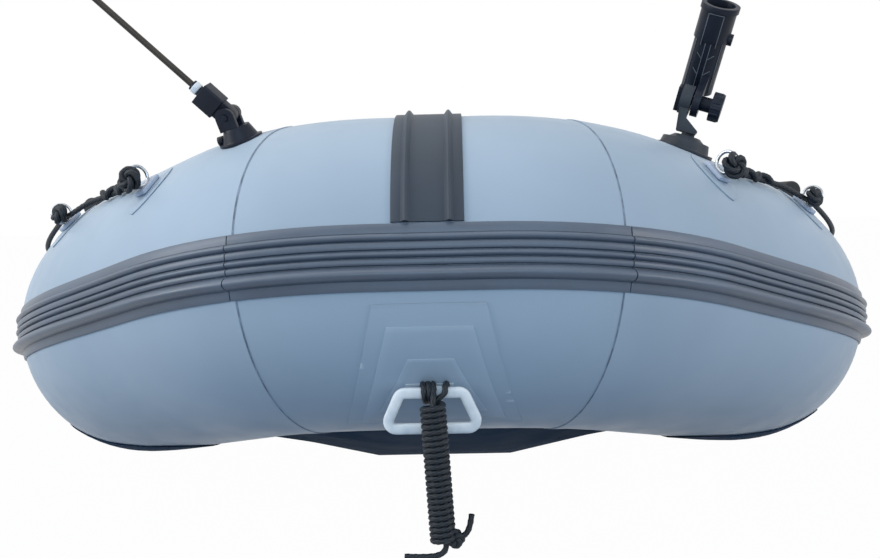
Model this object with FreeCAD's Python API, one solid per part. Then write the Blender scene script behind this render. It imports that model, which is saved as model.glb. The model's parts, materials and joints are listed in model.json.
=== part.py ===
import FreeCAD
import Part

import math
import os

from FreeCAD import Placement, Rotation, Vector

os.makedirs("parts", exist_ok=True)

# Frame: millimetres, +Z up, the bow towards -Y, the boat's port side on +X.
# The origin is on the ground under the keel, halfway along the boat.

# Driving sizes of the inflated tubes
LENGTH = 3000.0
TUBE_R = 200.0
SIDE_X = 534.0
BOW_RISE = 160.0
BOW_HALF = 162.0
SHOULDER_X = 473.0
SHOULDER_BACK = 277.0
SHOULDER_RISE = 71.0
SIDE_BACK = 715.0
BOW_BEND = 250.0
SHOULDER_BEND = 450.0
SIDE_BEND = 400.0
CONE_L = 330.0
CONE_TIP_R = 72.0
CAP_L = 30.0

# Fabric layers and running gaps
SEAT = 0.3
WRAP_T = 2.0
FABRIC_T = 1.2
BOTTOM_T = 3.0

# Rubbing strake
STRAKE_W = 75.0
STRAKE_TOP_DEG = 19.5
STRAKE_BASE_T = 2.5
STRAKE_RIB_H = 6.5
STRAKE_BEAD_H = 13.0

# Chafe pad over the bow
PAD_W = 82.0
PAD_T = 3.0
PAD_RIB_X = 24.5
PAD_RIB_W = 9.0
PAD_RIB_H = 5.5
PAD_END_DEG = 104.0

# Bottom, deck and transom
KEEL_HALF_W = 120.0
KEEL_NOSE_HALF_W = 42.0
KEEL_RISE_L = 515.0
KEEL_NOSE_BACK = 25.0
KEEL_TAPER_BACK = 450.0
KEEL_FIRST_SLOPE = 0.8
BOTTOM_DEG = -110.0
BOTTOM_GAP = 0.8
DECK_T = 70.0
DECK_Z = 72.0
DECK_NOSE_BACK = 320.0
DECK_SIDE_GAP = 160.0
DECK_SHOULDER_L = 380.0
DECK_VALVE_X = 230.0
DECK_VALVE_BACK = 135.0
TRANSOM_BACK = 405.0
TRANSOM_T = 27.0
TRANSOM_TOP_Z = 376.0
TRANSOM_HALF_TOP = 235.0
TRANSOM_SLOPE_W = 80.0
TRANSOM_SHOULDER_H = 120.0
MOTOR_PAD_W = 180.0
MOTOR_PAD_H = 160.0
MOTOR_PAD_T = 5.0
MOTOR_PAD_DROP = 12.0
DRAIN_X = -250.0
DRAIN_Z = 70.0

# Benches and their rails
SEAT_RAIL_DEG = 136.0
RAIL_BASE_W = 34.0
RAIL_BASE_T = 2.5
RAIL_BEAD_R = 5.0
RAIL_STAND = 12.0
BENCH_W = 200.0
BENCH_T = 22.0
BENCH_FRONT_BACK = 862.0
BENCH_REAR_BACK = 575.0
RAIL_SPARE = 150.0

# Oars and their rowlocks
OAR_X = 585.0
OAR_BACK = 1150.0
OAR_STAND = 64.0
OAR_INBOARD = 562.0
OAR_SPLAY_DEG = 7.3
OAR_SHAFT_R = 15.0
OAR_GRIP_R = 17.5
OAR_GRIP_L = 130.0
OAR_SHAFT_L = 1150.0
BLADE_L = 450.0
BLADE_W = 150.0
BLADE_T = 12.0
LOCK_PIN_R = 6.0
LOCK_RING_R = 24.0
LOCK_RING_T = 6.0

# Bow handle
HANDLE_STAND = 16.2
HANDLE_DEG = -35.2
HANDLE_TOP_W = 80.0
HANDLE_BASE_W = 128.0
HANDLE_H = 53.0
HANDLE_BAR = 12.5
HANDLE_T = 10.0
HANDLE_PATCH_UP = 115.0
HANDLE_PATCH_DOWN = 85.0
HANDLE_PATCH_TOP = 60.0
HANDLE_PATCH_LOW = 106.0
STRAP_W = 16.0
STRAP_T = 1.5
STRAP_X = 4.0

# Rod holder on the port bow
ROD_S = 317.5
ROD_PHI = 80.6
ROD_BASE_R = 41.0
ROD_LIP_T = 4.0
ROD_BODY_R = 35.0
ROD_BODY_H = 10.0
ROD_CROWN_R = 26.0
ROD_CROWN_H = 6.0
ROD_KNUCKLE_H = 68.0
ROD_KNUCKLE_R = 20.0
ROD_SWIVEL_DEG = 14.0
ROD_TILT_DEG = 27.0
ROD_TUBE_R = 22.0
ROD_BORE_R = 19.5
ROD_TUBE_L = 124.0
ROD_TUBE_START = 0.0
ROD_COLLAR_L = 48.0
ROD_RIM_L = 8.0
ROD_BUTTON_R = 8.0
ROD_TUBE_GAP = 4.0
ROD_TUBE_SIDE = -11.0
ROD_PLATE_T = 15.0
ROD_STEM_BACK = 5.0
ROD_STEM_W = 20.0
ROD_PLATE_OUT = -9.0
ROD_FOOT_Z = 24.0
ROD_FOOT_X = (-17.0, 11.0)
ROD_EAR_T = 10.0
ROD_EAR_GAP = 2.0
ROD_KNOB_R = 19.0
ROD_BOLT_R = 5.0
ROD_NECK_R = 9.0
ROD_HUB_L = 14.0
ROD_KNOB_L = 15.0
ROD_LEVER_L = 34.0
ROD_LEVER_W = 14.0
ROD_LEVER_T = 6.0

# Staff holder on the starboard bow
STAFF_S = 186.0
STAFF_PHI = 70.9
STAFF_BASE_R = 28.0
STAFF_R = 4.0
STAFF_L = 620.0
STAFF_PIVOT_H = 33.5
STAFF_PIVOT_LEAN = 5.0
STAFF_FOOT_T = 3.0
STAFF_BELL_R = 24.0
STAFF_BELL_TOP_R = 17.0
STAFF_BELL_H = 15.0
STAFF_EAR_T = 6.0
STAFF_EAR_X = 8.0
STAFF_DISC_R = 12.0
STAFF_BLOCK_START = 14.5
STAFF_BLOCK_L = 29.0
STAFF_BLOCK_W = 29.0
STAFF_BLOCK_T = 24.0
STAFF_TIP_L = 14.0
STAFF_TIP_R = 7.0
STAFF_BORE_START = 28.0

TUBE_Z = TUBE_R + WRAP_T
BOW_Y = -LENGTH / 2 + TUBE_R
CONE_Y = LENGTH / 2 - CAP_L - CONE_L
KEEL_FLAT_Y = BOW_Y + KEEL_RISE_L
DECK_NOSE_Y = BOW_Y + DECK_NOSE_BACK
TRANSOM_Y = LENGTH / 2 - TRANSOM_BACK
BENCH_FRONT_Y = BOW_Y + BENCH_FRONT_BACK
BENCH_REAR_Y = TRANSOM_Y - BENCH_REAR_BACK
OAR_Y = BOW_Y + OAR_BACK
OAR_Z = TUBE_Z + TUBE_R + OAR_STAND
X_AXIS = Vector(1, 0, 0)
Y_AXIS = Vector(0, 1, 0)
Z_AXIS = Vector(0, 0, 1)
ORIGIN = Vector(0, 0, 0)


def unit(v):
    return v * (1.0 / v.Length)


def save(shape, node):
    shape.exportStep("parts/" + node + ".step")


def mirrored(shape):
    return shape.mirror(ORIGIN, X_AXIS)


def save_pair(shape, node):
    """The same piece on both sides of the boat, as its own node each."""
    save(shape, node + "_port")
    save(mirrored(shape), node + "_starboard")


# Centre line of the port tube

def tube_runs():
    """Straight runs and bends from the bow's middle to the start of the stern cone.

    Each run keeps the section frame at its start: out points away from the cockpit, up is square to it.
    """
    corners = [
        Vector(0, BOW_Y, TUBE_Z + BOW_RISE),
        Vector(BOW_HALF, BOW_Y, TUBE_Z + BOW_RISE),
        Vector(SHOULDER_X, BOW_Y + SHOULDER_BACK, TUBE_Z + SHOULDER_RISE),
        Vector(SIDE_X, BOW_Y + SIDE_BACK, TUBE_Z),
        Vector(SIDE_X, CONE_Y, TUBE_Z),
    ]
    radii = [BOW_BEND, SHOULDER_BEND, SIDE_BEND]
    runs = []
    here = corners[0]
    out = Vector(0, -1, 0)
    up = Vector(0, 0, 1)
    travelled = 0.0
    for k, radius in enumerate(radii, 1):
        ahead = unit(corners[k] - corners[k - 1])
        after = unit(corners[k + 1] - corners[k])
        turn = ahead.getAngle(after)
        start = corners[k] - ahead * (radius * math.tan(turn / 2))
        length = (start - here).Length
        runs.append({"at": here, "ahead": ahead, "out": out, "up": up, "length": length, "s": travelled})
        travelled += length
        inward = unit(after - ahead * ahead.dot(after))
        centre = start + inward * radius
        axis = unit(ahead.cross(after))
        runs.append({"at": start, "ahead": ahead, "out": out, "up": up, "length": radius * turn,
                     "s": travelled, "centre": centre, "axis": axis, "turn": turn})
        travelled += radius * turn
        spin = Rotation(axis, math.degrees(turn))
        out = spin.multVec(out)
        up = spin.multVec(up)
        here = centre + spin.multVec(start - centre)
    last = unit(corners[4] - here)
    runs.append({"at": here, "ahead": last, "out": out, "up": up, "length": (corners[4] - here).Length,
                 "s": travelled})
    return runs


RUNS = tube_runs()


def run_at(run, distance):
    """The section frame of a run at a distance along it."""
    if "turn" not in run:
        at = run["at"] + run["ahead"] * distance
        return {"at": at, "ahead": run["ahead"], "out": run["out"], "up": run["up"]}
    spin = Rotation(run["axis"], math.degrees(run["turn"] * distance / run["length"]))
    at = run["centre"] + spin.multVec(run["at"] - run["centre"])
    return {"at": at, "ahead": spin.multVec(run["ahead"]), "out": spin.multVec(run["out"]),
            "up": spin.multVec(run["up"])}


def cut_run(run, start, end):
    """A shorter run between two distances along a run."""
    piece = run_at(run, start)
    piece["length"] = end - start
    piece["s"] = run["s"] + start
    if "turn" in run:
        piece["centre"] = run["centre"]
        piece["axis"] = run["axis"]
        piece["turn"] = run["turn"] * (end - start) / run["length"]
    return piece


def tube_frame(s, phi_deg):
    """A frame on the tube's skin, s along the centre line and phi round it from the out direction."""
    run = [r for r in RUNS if r["s"] <= s + 1e-6][-1]
    spot = run_at(run, s - run["s"])
    phi = math.radians(phi_deg)
    normal = spot["out"] * math.cos(phi) + spot["up"] * math.sin(phi)
    side = unit(spot["ahead"])
    return {"at": spot["at"] + normal * TUBE_R, "normal": normal, "along": side,
            "across": normal.cross(side)}


def section_face(outline, spot):
    """A face from a closed outline drawn in the section frame (out, up)."""
    face = Part.Face(outline)
    turn = Rotation(spot["out"], spot["up"], spot["out"].cross(spot["up"]), "ZXY")
    face.Placement = Placement(spot["at"], turn)
    return face


def swept(outline, runs):
    """One solid swept along the runs by extrusion and revolution."""
    solids = []
    for run in runs:
        face = section_face(outline, run)
        if "turn" in run:
            solids.append(face.revolve(run["centre"], run["axis"], math.degrees(run["turn"])))
        else:
            solids.append(face.extrude(run["ahead"] * run["length"]))
    if len(solids) == 1:
        return solids[0]
    return solids[0].fuse(solids[1:]).removeSplitter()


def circle_outline(radius):
    return Part.Wire(Part.makeCircle(radius))


def polar(r, phi):
    return Vector(r * math.cos(phi), r * math.sin(phi), 0)


def arc_between(r, phi_a, phi_b):
    return Part.Arc(polar(r, phi_a), polar(r, (phi_a + phi_b) / 2), polar(r, phi_b)).toShape()


def band_outline(r_in, r_out, deg_a, deg_b):
    """A closed band round the tube between two angles."""
    a = math.radians(deg_a)
    b = math.radians(deg_b)
    edges = [
        arc_between(r_in, a, b),
        Part.makeLine(polar(r_in, b), polar(r_out, b)),
        arc_between(r_out, b, a),
        Part.makeLine(polar(r_out, a), polar(r_in, a)),
    ]
    return Part.Wire(edges)


STRAIGHT_BOW, BEND_BOW, STRAIGHT_SHOULDER, BEND_SHOULDER, STRAIGHT_SIDE, BEND_SIDE, STRAIGHT_REAR = RUNS
HALF_BEND = BEND_BOW["length"] / 2
CENTER_RUNS = [STRAIGHT_BOW, cut_run(BEND_BOW, 0, HALF_BEND)]
SHOULDER_RUNS = [cut_run(BEND_BOW, HALF_BEND, BEND_BOW["length"]), STRAIGHT_SHOULDER, BEND_SHOULDER,
                 STRAIGHT_SIDE, BEND_SIDE]
REAR_RUNS = [STRAIGHT_REAR]


def both_halves(outline):
    """A piece that crosses the bow's middle, from its port half and the mirror image."""
    half = swept(outline, CENTER_RUNS)
    return half.fuse(mirrored(half)).removeSplitter()


def tubes_around(radius):
    """Both tubes at a given radius, whole, to cut seats that follow them."""
    half = swept(circle_outline(radius), CENTER_RUNS + SHOULDER_RUNS + REAR_RUNS)
    return half, mirrored(half)


# Inflated tubes

def build_tubes():
    ring = circle_outline(TUBE_R)
    save(both_halves(ring), "bow_panel_center")
    save_pair(swept(ring, SHOULDER_RUNS), "bow_panel")
    save_pair(swept(ring, REAR_RUNS), "side_tube")
    cone = Part.makeCone(TUBE_R, CONE_TIP_R, CONE_L, Vector(SIDE_X, CONE_Y, TUBE_Z), Y_AXIS)
    save_pair(cone, "stern_cone")
    cap = Part.makeCylinder(CONE_TIP_R, CAP_L, Vector(SIDE_X, CONE_Y + CONE_L, TUBE_Z), Y_AXIS)
    tip = [e for e in cap.Edges if isinstance(e.Curve, Part.Circle) and e.CenterOfMass.y > CONE_Y + CONE_L + 1]
    cap = cap.makeFillet(CAP_L * 0.7, tip)
    save_pair(cap, "cone_cap")


# Rubbing strake

def strake_outline():
    """Flat flange, two ribs, a groove, the large bead and a lower flange, from top to bottom."""
    r_in = TUBE_R + SEAT
    r_base = r_in + STRAKE_BASE_T
    top = math.radians(STRAKE_TOP_DEG)

    def place(t, h):
        return polar(r_base + h, top - t / TUBE_R)

    bumps = [
        (15.0, 27.0, STRAKE_RIB_H),
        (28.5, 40.5, STRAKE_RIB_H),
        (48.0, 65.0, STRAKE_BEAD_H),
    ]
    edges = [Part.makeLine(polar(r_in, top), place(0, 0))]
    here = 0.0
    for start, end, height in bumps:
        edges.append(arc_between(r_base, top - here / TUBE_R, top - start / TUBE_R))
        edges.append(Part.Arc(place(start, 0), place((start + end) / 2, height), place(end, 0)).toShape())
        here = end
    low = top - STRAKE_W / TUBE_R
    edges.append(arc_between(r_base, top - here / TUBE_R, low))
    edges.append(Part.makeLine(place(STRAKE_W, 0), polar(r_in, low)))
    edges.append(arc_between(r_in, low, top))
    return Part.Wire(edges)


def build_strake():
    outline = strake_outline()
    save(both_halves(outline), "strake_bow")
    save_pair(swept(outline, SHOULDER_RUNS + REAR_RUNS), "strake")


# Chafe pad over the bow tube, where the anchor line runs

def build_chafe_pad():
    r_in = TUBE_R + SEAT
    r_out = r_in + PAD_T
    half = PAD_W / 2
    points = [Vector(-half, 0, r_in), Vector(-half, 0, r_out)]
    for side in (-1, 1):
        points.append(Vector(side * PAD_RIB_X - PAD_RIB_W / 2, 0, r_out))
        points.append(Vector(side * PAD_RIB_X, 0, r_out + PAD_RIB_H))
        points.append(Vector(side * PAD_RIB_X + PAD_RIB_W / 2, 0, r_out))
    points.append(Vector(half, 0, r_out))
    points.append(Vector(half, 0, r_in))
    face = Part.Face(Part.makePolygon(points + points[:1]))
    start_deg = STRAKE_TOP_DEG + 0.2
    face.rotate(ORIGIN, X_AXIS, 90 - start_deg)
    pad = face.revolve(ORIGIN, X_AXIS, -(PAD_END_DEG - start_deg))
    pad.translate(Vector(0, BOW_Y, TUBE_Z + BOW_RISE))
    save(pad, "bow_chafe_pad")


# Black skin under the tubes

WRAP_IN_DEG = -118.0
WRAP_MID_DEG = -91.0
WRAP_OUT_DEG = -20.0
WRAP_EDGE = [(80, -80), (140, -93), (200, -98), (240, -92), (300, -90), (715, -153)]


def build_bottom_wraps():
    """The skin reaches from the bottom's seam out to an edge that drops along the tube's side."""
    runs = CENTER_RUNS + SHOULDER_RUNS + REAR_RUNS
    r_in = TUBE_R + SEAT
    r_out = TUBE_R + WRAP_T
    under = swept(band_outline(r_in, r_out, WRAP_IN_DEG, WRAP_MID_DEG), runs)
    flank = swept(band_outline(r_in, r_out, WRAP_MID_DEG, WRAP_OUT_DEG), runs)
    edge = [Vector(0, BOW_Y + back, TUBE_Z + rise) for back, rise in WRAP_EDGE]
    edge.append(Vector(0, CONE_Y + TUBE_R, edge[-1].z))
    edge.append(Vector(0, CONE_Y + TUBE_R, -TUBE_R))
    edge.append(Vector(0, edge[0].y, -TUBE_R))
    below = Part.Face(Part.makePolygon(edge + edge[:1])).extrude(Vector(SIDE_X + TUBE_R * 2, 0, 0))
    save_pair(under.fuse(flank.common(below)).removeSplitter(), "bottom_wrap")


# Fabric bottom with its flat keel pad

def keel_height(y):
    """Height of the keel pad: flat on the ground aft, rising to the bow tube."""
    nose_y = BOW_Y + KEEL_NOSE_BACK
    if y >= KEEL_FLAT_Y:
        return 0.0
    t = (KEEL_FLAT_Y - y) / (KEEL_FLAT_Y - nose_y)
    nose_z = TUBE_Z + BOW_RISE - TUBE_R - WRAP_T - BOTTOM_T - 1.0
    return nose_z * (KEEL_FIRST_SLOPE * t + (1 - KEEL_FIRST_SLOPE) * t * t)


def bottom_edge(s, deg):
    """Upper and lower edge of the bottom fabric where it is glued under the tube."""
    spot = tube_frame(s, deg)
    reach = WRAP_T + BOTTOM_GAP
    return spot["at"] + spot["normal"] * reach, spot["at"] + spot["normal"] * (reach + BOTTOM_T)


def bottom_station(s, deg):
    """Cross-section of the bottom where it leaves the tube at s, as a thin closed outline."""
    edge_top, edge_low = bottom_edge(s, deg)
    y = edge_top.y
    edge_low.y = y
    half = KEEL_HALF_W
    taper_y = BOW_Y + KEEL_TAPER_BACK
    if y < taper_y:
        half += (KEEL_NOSE_HALF_W - KEEL_HALF_W) * (taper_y - y) / KEEL_TAPER_BACK
    low = keel_height(y)
    points = [
        Vector(-edge_low.x, y, edge_low.z),
        Vector(-half, y, low),
        Vector(half, y, low),
        Vector(edge_low.x, y, edge_low.z),
        Vector(edge_top.x, y, edge_top.z),
        Vector(half, y, low + BOTTOM_T),
        Vector(-half, y, low + BOTTOM_T),
        Vector(-edge_top.x, y, edge_top.z),
    ]
    return Part.makePolygon(points + points[:1])


def station_at(y, deg):
    """The distance along the tube where the bottom's edge passes a given y."""
    near = STRAIGHT_SHOULDER["s"]
    far = STRAIGHT_REAR["s"] + STRAIGHT_REAR["length"]
    for _ in range(40):
        middle = (near + far) / 2
        if bottom_edge(middle, deg)[0].y < y:
            near = middle
        else:
            far = middle
    return near


BOTTOM_REAR_S = STRAIGHT_REAR["s"] + (TRANSOM_Y + TRANSOM_T - STRAIGHT_REAR["at"].y)


def build_bottom():
    flat_s = station_at(KEEL_FLAT_Y, BOTTOM_DEG)
    stations = [
        (70.0, -97.0),
        (140.0, -104.0),
        (220.0, -107.0),
        (310.0, -109.0),
        (450.0, BOTTOM_DEG),
        ((450.0 + flat_s) / 2, BOTTOM_DEG),
        (flat_s, BOTTOM_DEG),
        (BEND_SIDE["s"], BOTTOM_DEG),
        (BEND_SIDE["s"] + BEND_SIDE["length"] / 2, BOTTOM_DEG),
        (STRAIGHT_REAR["s"], BOTTOM_DEG),
        (BOTTOM_REAR_S, BOTTOM_DEG),
    ]
    wires = [bottom_station(s, deg) for s, deg in stations]
    save(Part.makeLoft(wires, True, True), "hull_bottom")


# Air deck, transom and motor pads

def build_deck_and_transom():
    tube_port, tube_starboard = tubes_around(TUBE_R + SEAT)
    side = SIDE_X - DECK_SIDE_GAP
    chamfer = KEEL_HALF_W / 2
    plan = [
        Vector(side, TRANSOM_Y - SEAT, DECK_Z),
        Vector(side, DECK_NOSE_Y + DECK_SHOULDER_L, DECK_Z),
        Vector(KEEL_HALF_W + chamfer, DECK_NOSE_Y + chamfer, DECK_Z),
        Vector(KEEL_HALF_W, DECK_NOSE_Y, DECK_Z),
    ]
    plan += [Vector(-p.x, p.y, p.z) for p in reversed(plan)]
    deck = Part.Face(Part.makePolygon(plan + plan[:1])).extrude(Vector(0, 0, DECK_T))
    deck = deck.cut([tube_port, tube_starboard])
    save(deck, "air_deck")

    shoulder_z = TUBE_Z + TRANSOM_SHOULDER_H
    seam = bottom_edge(BOTTOM_REAR_S, BOTTOM_DEG)[0]
    plan = [
        Vector(KEEL_HALF_W, TRANSOM_Y, BOTTOM_T + SEAT),
        Vector(seam.x, TRANSOM_Y, seam.z + SEAT),
        Vector(SIDE_X, TRANSOM_Y, seam.z + SEAT),
        Vector(SIDE_X, TRANSOM_Y, shoulder_z),
        Vector(TRANSOM_HALF_TOP + TRANSOM_SLOPE_W, TRANSOM_Y, shoulder_z),
        Vector(TRANSOM_HALF_TOP, TRANSOM_Y, TRANSOM_TOP_Z),
    ]
    plan += [Vector(-p.x, p.y, p.z) for p in reversed(plan)]
    board = Part.Face(Part.makePolygon(plan + plan[:1])).extrude(Vector(0, TRANSOM_T, 0))
    skin = swept(band_outline(TUBE_R, TUBE_R + WRAP_T + SEAT, WRAP_IN_DEG - 1.0, WRAP_MID_DEG), REAR_RUNS)
    board = board.cut([tube_port, tube_starboard, skin, mirrored(skin)])
    save(board, "transom")

    pad = Part.makeBox(MOTOR_PAD_W, MOTOR_PAD_T, MOTOR_PAD_H)
    pad_z = TRANSOM_TOP_Z - MOTOR_PAD_H - MOTOR_PAD_DROP
    upright = [e for e in pad.Edges if abs(e.tangentAt(e.FirstParameter).y) > 0.9]
    pad = pad.makeFillet(14.0, upright)
    outer = pad.copy()
    outer.translate(Vector(-MOTOR_PAD_W / 2, TRANSOM_Y + TRANSOM_T, pad_z))
    save(outer, "transom_pad_outer")
    inner = pad.copy()
    inner.translate(Vector(-MOTOR_PAD_W / 2, TRANSOM_Y - MOTOR_PAD_T, pad_z))
    save(inner, "transom_pad_inner")

    drain_at = Vector(DRAIN_X, TRANSOM_Y + TRANSOM_T, DRAIN_Z)
    drain = Part.makeCylinder(24, 5, drain_at, Y_AXIS)
    plug = Part.makeCylinder(13, 14, drain_at, Y_AXIS)
    save(drain.fuse(plug).removeSplitter(), "drain_valve")


# Bench seats on bolt-rope rails

def rail_spot(distance):
    """The rail's frame on the port side tube at a distance along the rear run."""
    spot = run_at(STRAIGHT_REAR, distance)
    twist = math.degrees(math.atan2(spot["out"].z, spot["out"].x))
    phi = math.radians(SEAT_RAIL_DEG - twist)
    normal = spot["out"] * math.cos(phi) + spot["up"] * math.sin(phi)
    return spot["at"], normal


def build_benches():
    centre, normal = rail_spot(0)
    across = Y_AXIS.cross(normal)
    r_in = TUBE_R + SEAT
    half_deg = math.degrees(RAIL_BASE_W / 2 / TUBE_R)
    start_y = BENCH_FRONT_Y - BENCH_W / 2
    end_y = BENCH_REAR_Y + BENCH_W / 2 + RAIL_SPARE
    twist = math.degrees(math.atan2(STRAIGHT_REAR["out"].z, STRAIGHT_REAR["out"].x))
    mid_deg = SEAT_RAIL_DEG - twist
    rail_run = cut_run(STRAIGHT_REAR, start_y - STRAIGHT_REAR["at"].y, end_y - STRAIGHT_REAR["at"].y)
    base = swept(band_outline(r_in, r_in + RAIL_BASE_T, mid_deg - half_deg, mid_deg + half_deg), [rail_run])
    seat_line = Vector(centre.x, start_y, centre.z)
    web_low = seat_line + normal * (r_in + RAIL_BASE_T - 0.5)
    bead_at = seat_line + normal * (TUBE_R + RAIL_STAND)
    length = end_y - start_y
    bead = Part.makeCylinder(RAIL_BEAD_R, length, bead_at, Y_AXIS)
    web = Part.makeBox(2.4, length, (bead_at - web_low).Length)
    web.Placement = Placement(web_low - across * 1.2, Rotation(across, Y_AXIS, normal, "ZXY"))
    rail = base.fuse([web, bead]).removeSplitter()
    save_pair(rail, "seat_rail")

    for y, node in ((BENCH_FRONT_Y, "seat_front"), (BENCH_REAR_Y, "seat_rear")):
        low_z = bead_at.z + RAIL_BEAD_R + 3.0
        half = abs(bead_at.x) + 20.0
        board = Part.makeBox(2 * half, BENCH_W, BENCH_T, Vector(-half, y - BENCH_W / 2, low_z))
        rounds = [e for e in board.Edges if abs(e.tangentAt(e.FirstParameter).z) > 0.9]
        board = board.makeFillet(28.0, rounds)
        grips = []
        for side in (1, -1):
            sleeve = Part.makeCylinder(RAIL_BEAD_R + SEAT + 3.0, BENCH_W - 70,
                                       Vector(bead_at.x * side, y - BENCH_W / 2 + 35, bead_at.z), Y_AXIS)
            bore = Part.makeCylinder(RAIL_BEAD_R + SEAT, BENCH_W,
                                     Vector(bead_at.x * side, y - BENCH_W / 2, bead_at.z), Y_AXIS)
            half_slot = Vector(across.x * side, 0, across.z) * 2.4
            down = Vector(-normal.x * side, 0, -normal.z) * (3 * RAIL_BEAD_R)
            corner = Vector(bead_at.x * side, y - BENCH_W / 2, bead_at.z)
            mouth = Part.makePolygon([corner - half_slot, corner + half_slot, corner + half_slot + down,
                                      corner - half_slot + down, corner - half_slot])
            slot = Part.Face(mouth).extrude(Vector(0, BENCH_W, 0))
            grips.append((sleeve, bore, slot))
        board = board.fuse([g[0] for g in grips]).cut([g[1] for g in grips] + [g[2] for g in grips])
        save(board.removeSplitter(), node)


# Rowlocks and oars

def build_oars():
    spot = run_at(STRAIGHT_REAR, OAR_Y - STRAIGHT_REAR["at"].y)
    reach = OAR_X - spot["at"].x
    top_z = TUBE_Z + math.sqrt(TUBE_R ** 2 - reach ** 2)
    foot_z = top_z - 12.0
    ring_low = OAR_Z - LOCK_RING_R - LOCK_RING_T
    pad = Part.makeCylinder(58, 16, Vector(OAR_X, OAR_Y, foot_z), Z_AXIS)
    dome = Part.makeCone(40, 22, 16, Vector(OAR_X, OAR_Y, foot_z + 16), Z_AXIS)
    column = Part.makeCylinder(16, ring_low - 4 - foot_z - 20, Vector(OAR_X, OAR_Y, foot_z + 20), Z_AXIS)
    tube_port, tube_starboard = tubes_around(TUBE_R + SEAT)
    base = pad.fuse([dome, column]).cut(tube_port)
    hole = Part.makeCylinder(LOCK_PIN_R + 0.3, 60, Vector(OAR_X, OAR_Y, top_z + 6), Z_AXIS)
    base = base.cut(hole).removeSplitter()
    save_pair(base, "rowlock_base")

    ring = Part.makeCylinder(LOCK_RING_R + LOCK_RING_T, 26, Vector(0, -13, 0), Y_AXIS)
    bore = Part.makeCylinder(OAR_SHAFT_R + SEAT, 30, Vector(0, -15, 0), Y_AXIS)
    collar = Part.makeCylinder(14, 5, Vector(0, 0, -LOCK_RING_R - LOCK_RING_T - 3.5), Z_AXIS)
    pin_l = ring_low - top_z - 8
    pin = Part.makeCylinder(LOCK_PIN_R, pin_l, Vector(0, 0, -LOCK_RING_R - LOCK_RING_T + 1 - pin_l), Z_AXIS)
    lock = ring.fuse([collar, pin]).cut(bore).removeSplitter()
    lock.rotate(ORIGIN, Z_AXIS, OAR_SPLAY_DEG)
    lock.translate(Vector(OAR_X, OAR_Y, OAR_Z))
    save_pair(lock, "rowlock")

    grip_end = OAR_Y - OAR_INBOARD
    pivot = Vector(OAR_X, OAR_Y, OAR_Z)
    shaft = Part.makeCylinder(OAR_SHAFT_R, OAR_SHAFT_L - OAR_GRIP_L,
                              Vector(OAR_X, grip_end + OAR_GRIP_L, OAR_Z), Y_AXIS)
    shaft.rotate(pivot, Z_AXIS, OAR_SPLAY_DEG)
    save_pair(shaft, "oar_shaft")
    grip = Part.makeCylinder(OAR_GRIP_R, OAR_GRIP_L, Vector(OAR_X, grip_end, OAR_Z), Y_AXIS)
    ends = [e for e in grip.Edges if isinstance(e.Curve, Part.Circle)]
    grip = grip.makeFillet(4.0, ends)
    grip.rotate(pivot, Z_AXIS, OAR_SPLAY_DEG)
    save_pair(grip, "oar_grip")

    blade_y = grip_end + OAR_SHAFT_L
    outline = Part.Wire([
        Part.makeLine(Vector(-22, 0, 0), Vector(22, 0, 0)),
        Part.BSplineCurve([Vector(22, 0, 0), Vector(40, 70, 0), Vector(BLADE_W / 2, 200, 0)]).toShape(),
        Part.makeLine(Vector(BLADE_W / 2, 200, 0), Vector(BLADE_W / 2, BLADE_L - 60, 0)),
        Part.Arc(Vector(BLADE_W / 2, BLADE_L - 60, 0), Vector(0, BLADE_L, 0),
                 Vector(-BLADE_W / 2, BLADE_L - 60, 0)).toShape(),
        Part.makeLine(Vector(-BLADE_W / 2, BLADE_L - 60, 0), Vector(-BLADE_W / 2, 200, 0)),
        Part.BSplineCurve([Vector(-BLADE_W / 2, 200, 0), Vector(-40, 70, 0), Vector(-22, 0, 0)]).toShape(),
    ])
    blade = Part.Face(outline).extrude(Vector(0, 0, BLADE_T))
    blade.translate(Vector(OAR_X, blade_y, OAR_Z - BLADE_T / 2))
    blade.rotate(pivot, Z_AXIS, OAR_SPLAY_DEG)
    save_pair(blade, "oar_blade")


# Bow handle, its patch and strap

def handle_bar():
    """Middle of the handle's upper bar."""
    phi = math.radians(HANDLE_DEG)
    stand = TUBE_R + HANDLE_STAND
    return Vector(0, BOW_Y - stand * math.cos(phi), TUBE_Z + BOW_RISE + stand * math.sin(phi))


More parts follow.
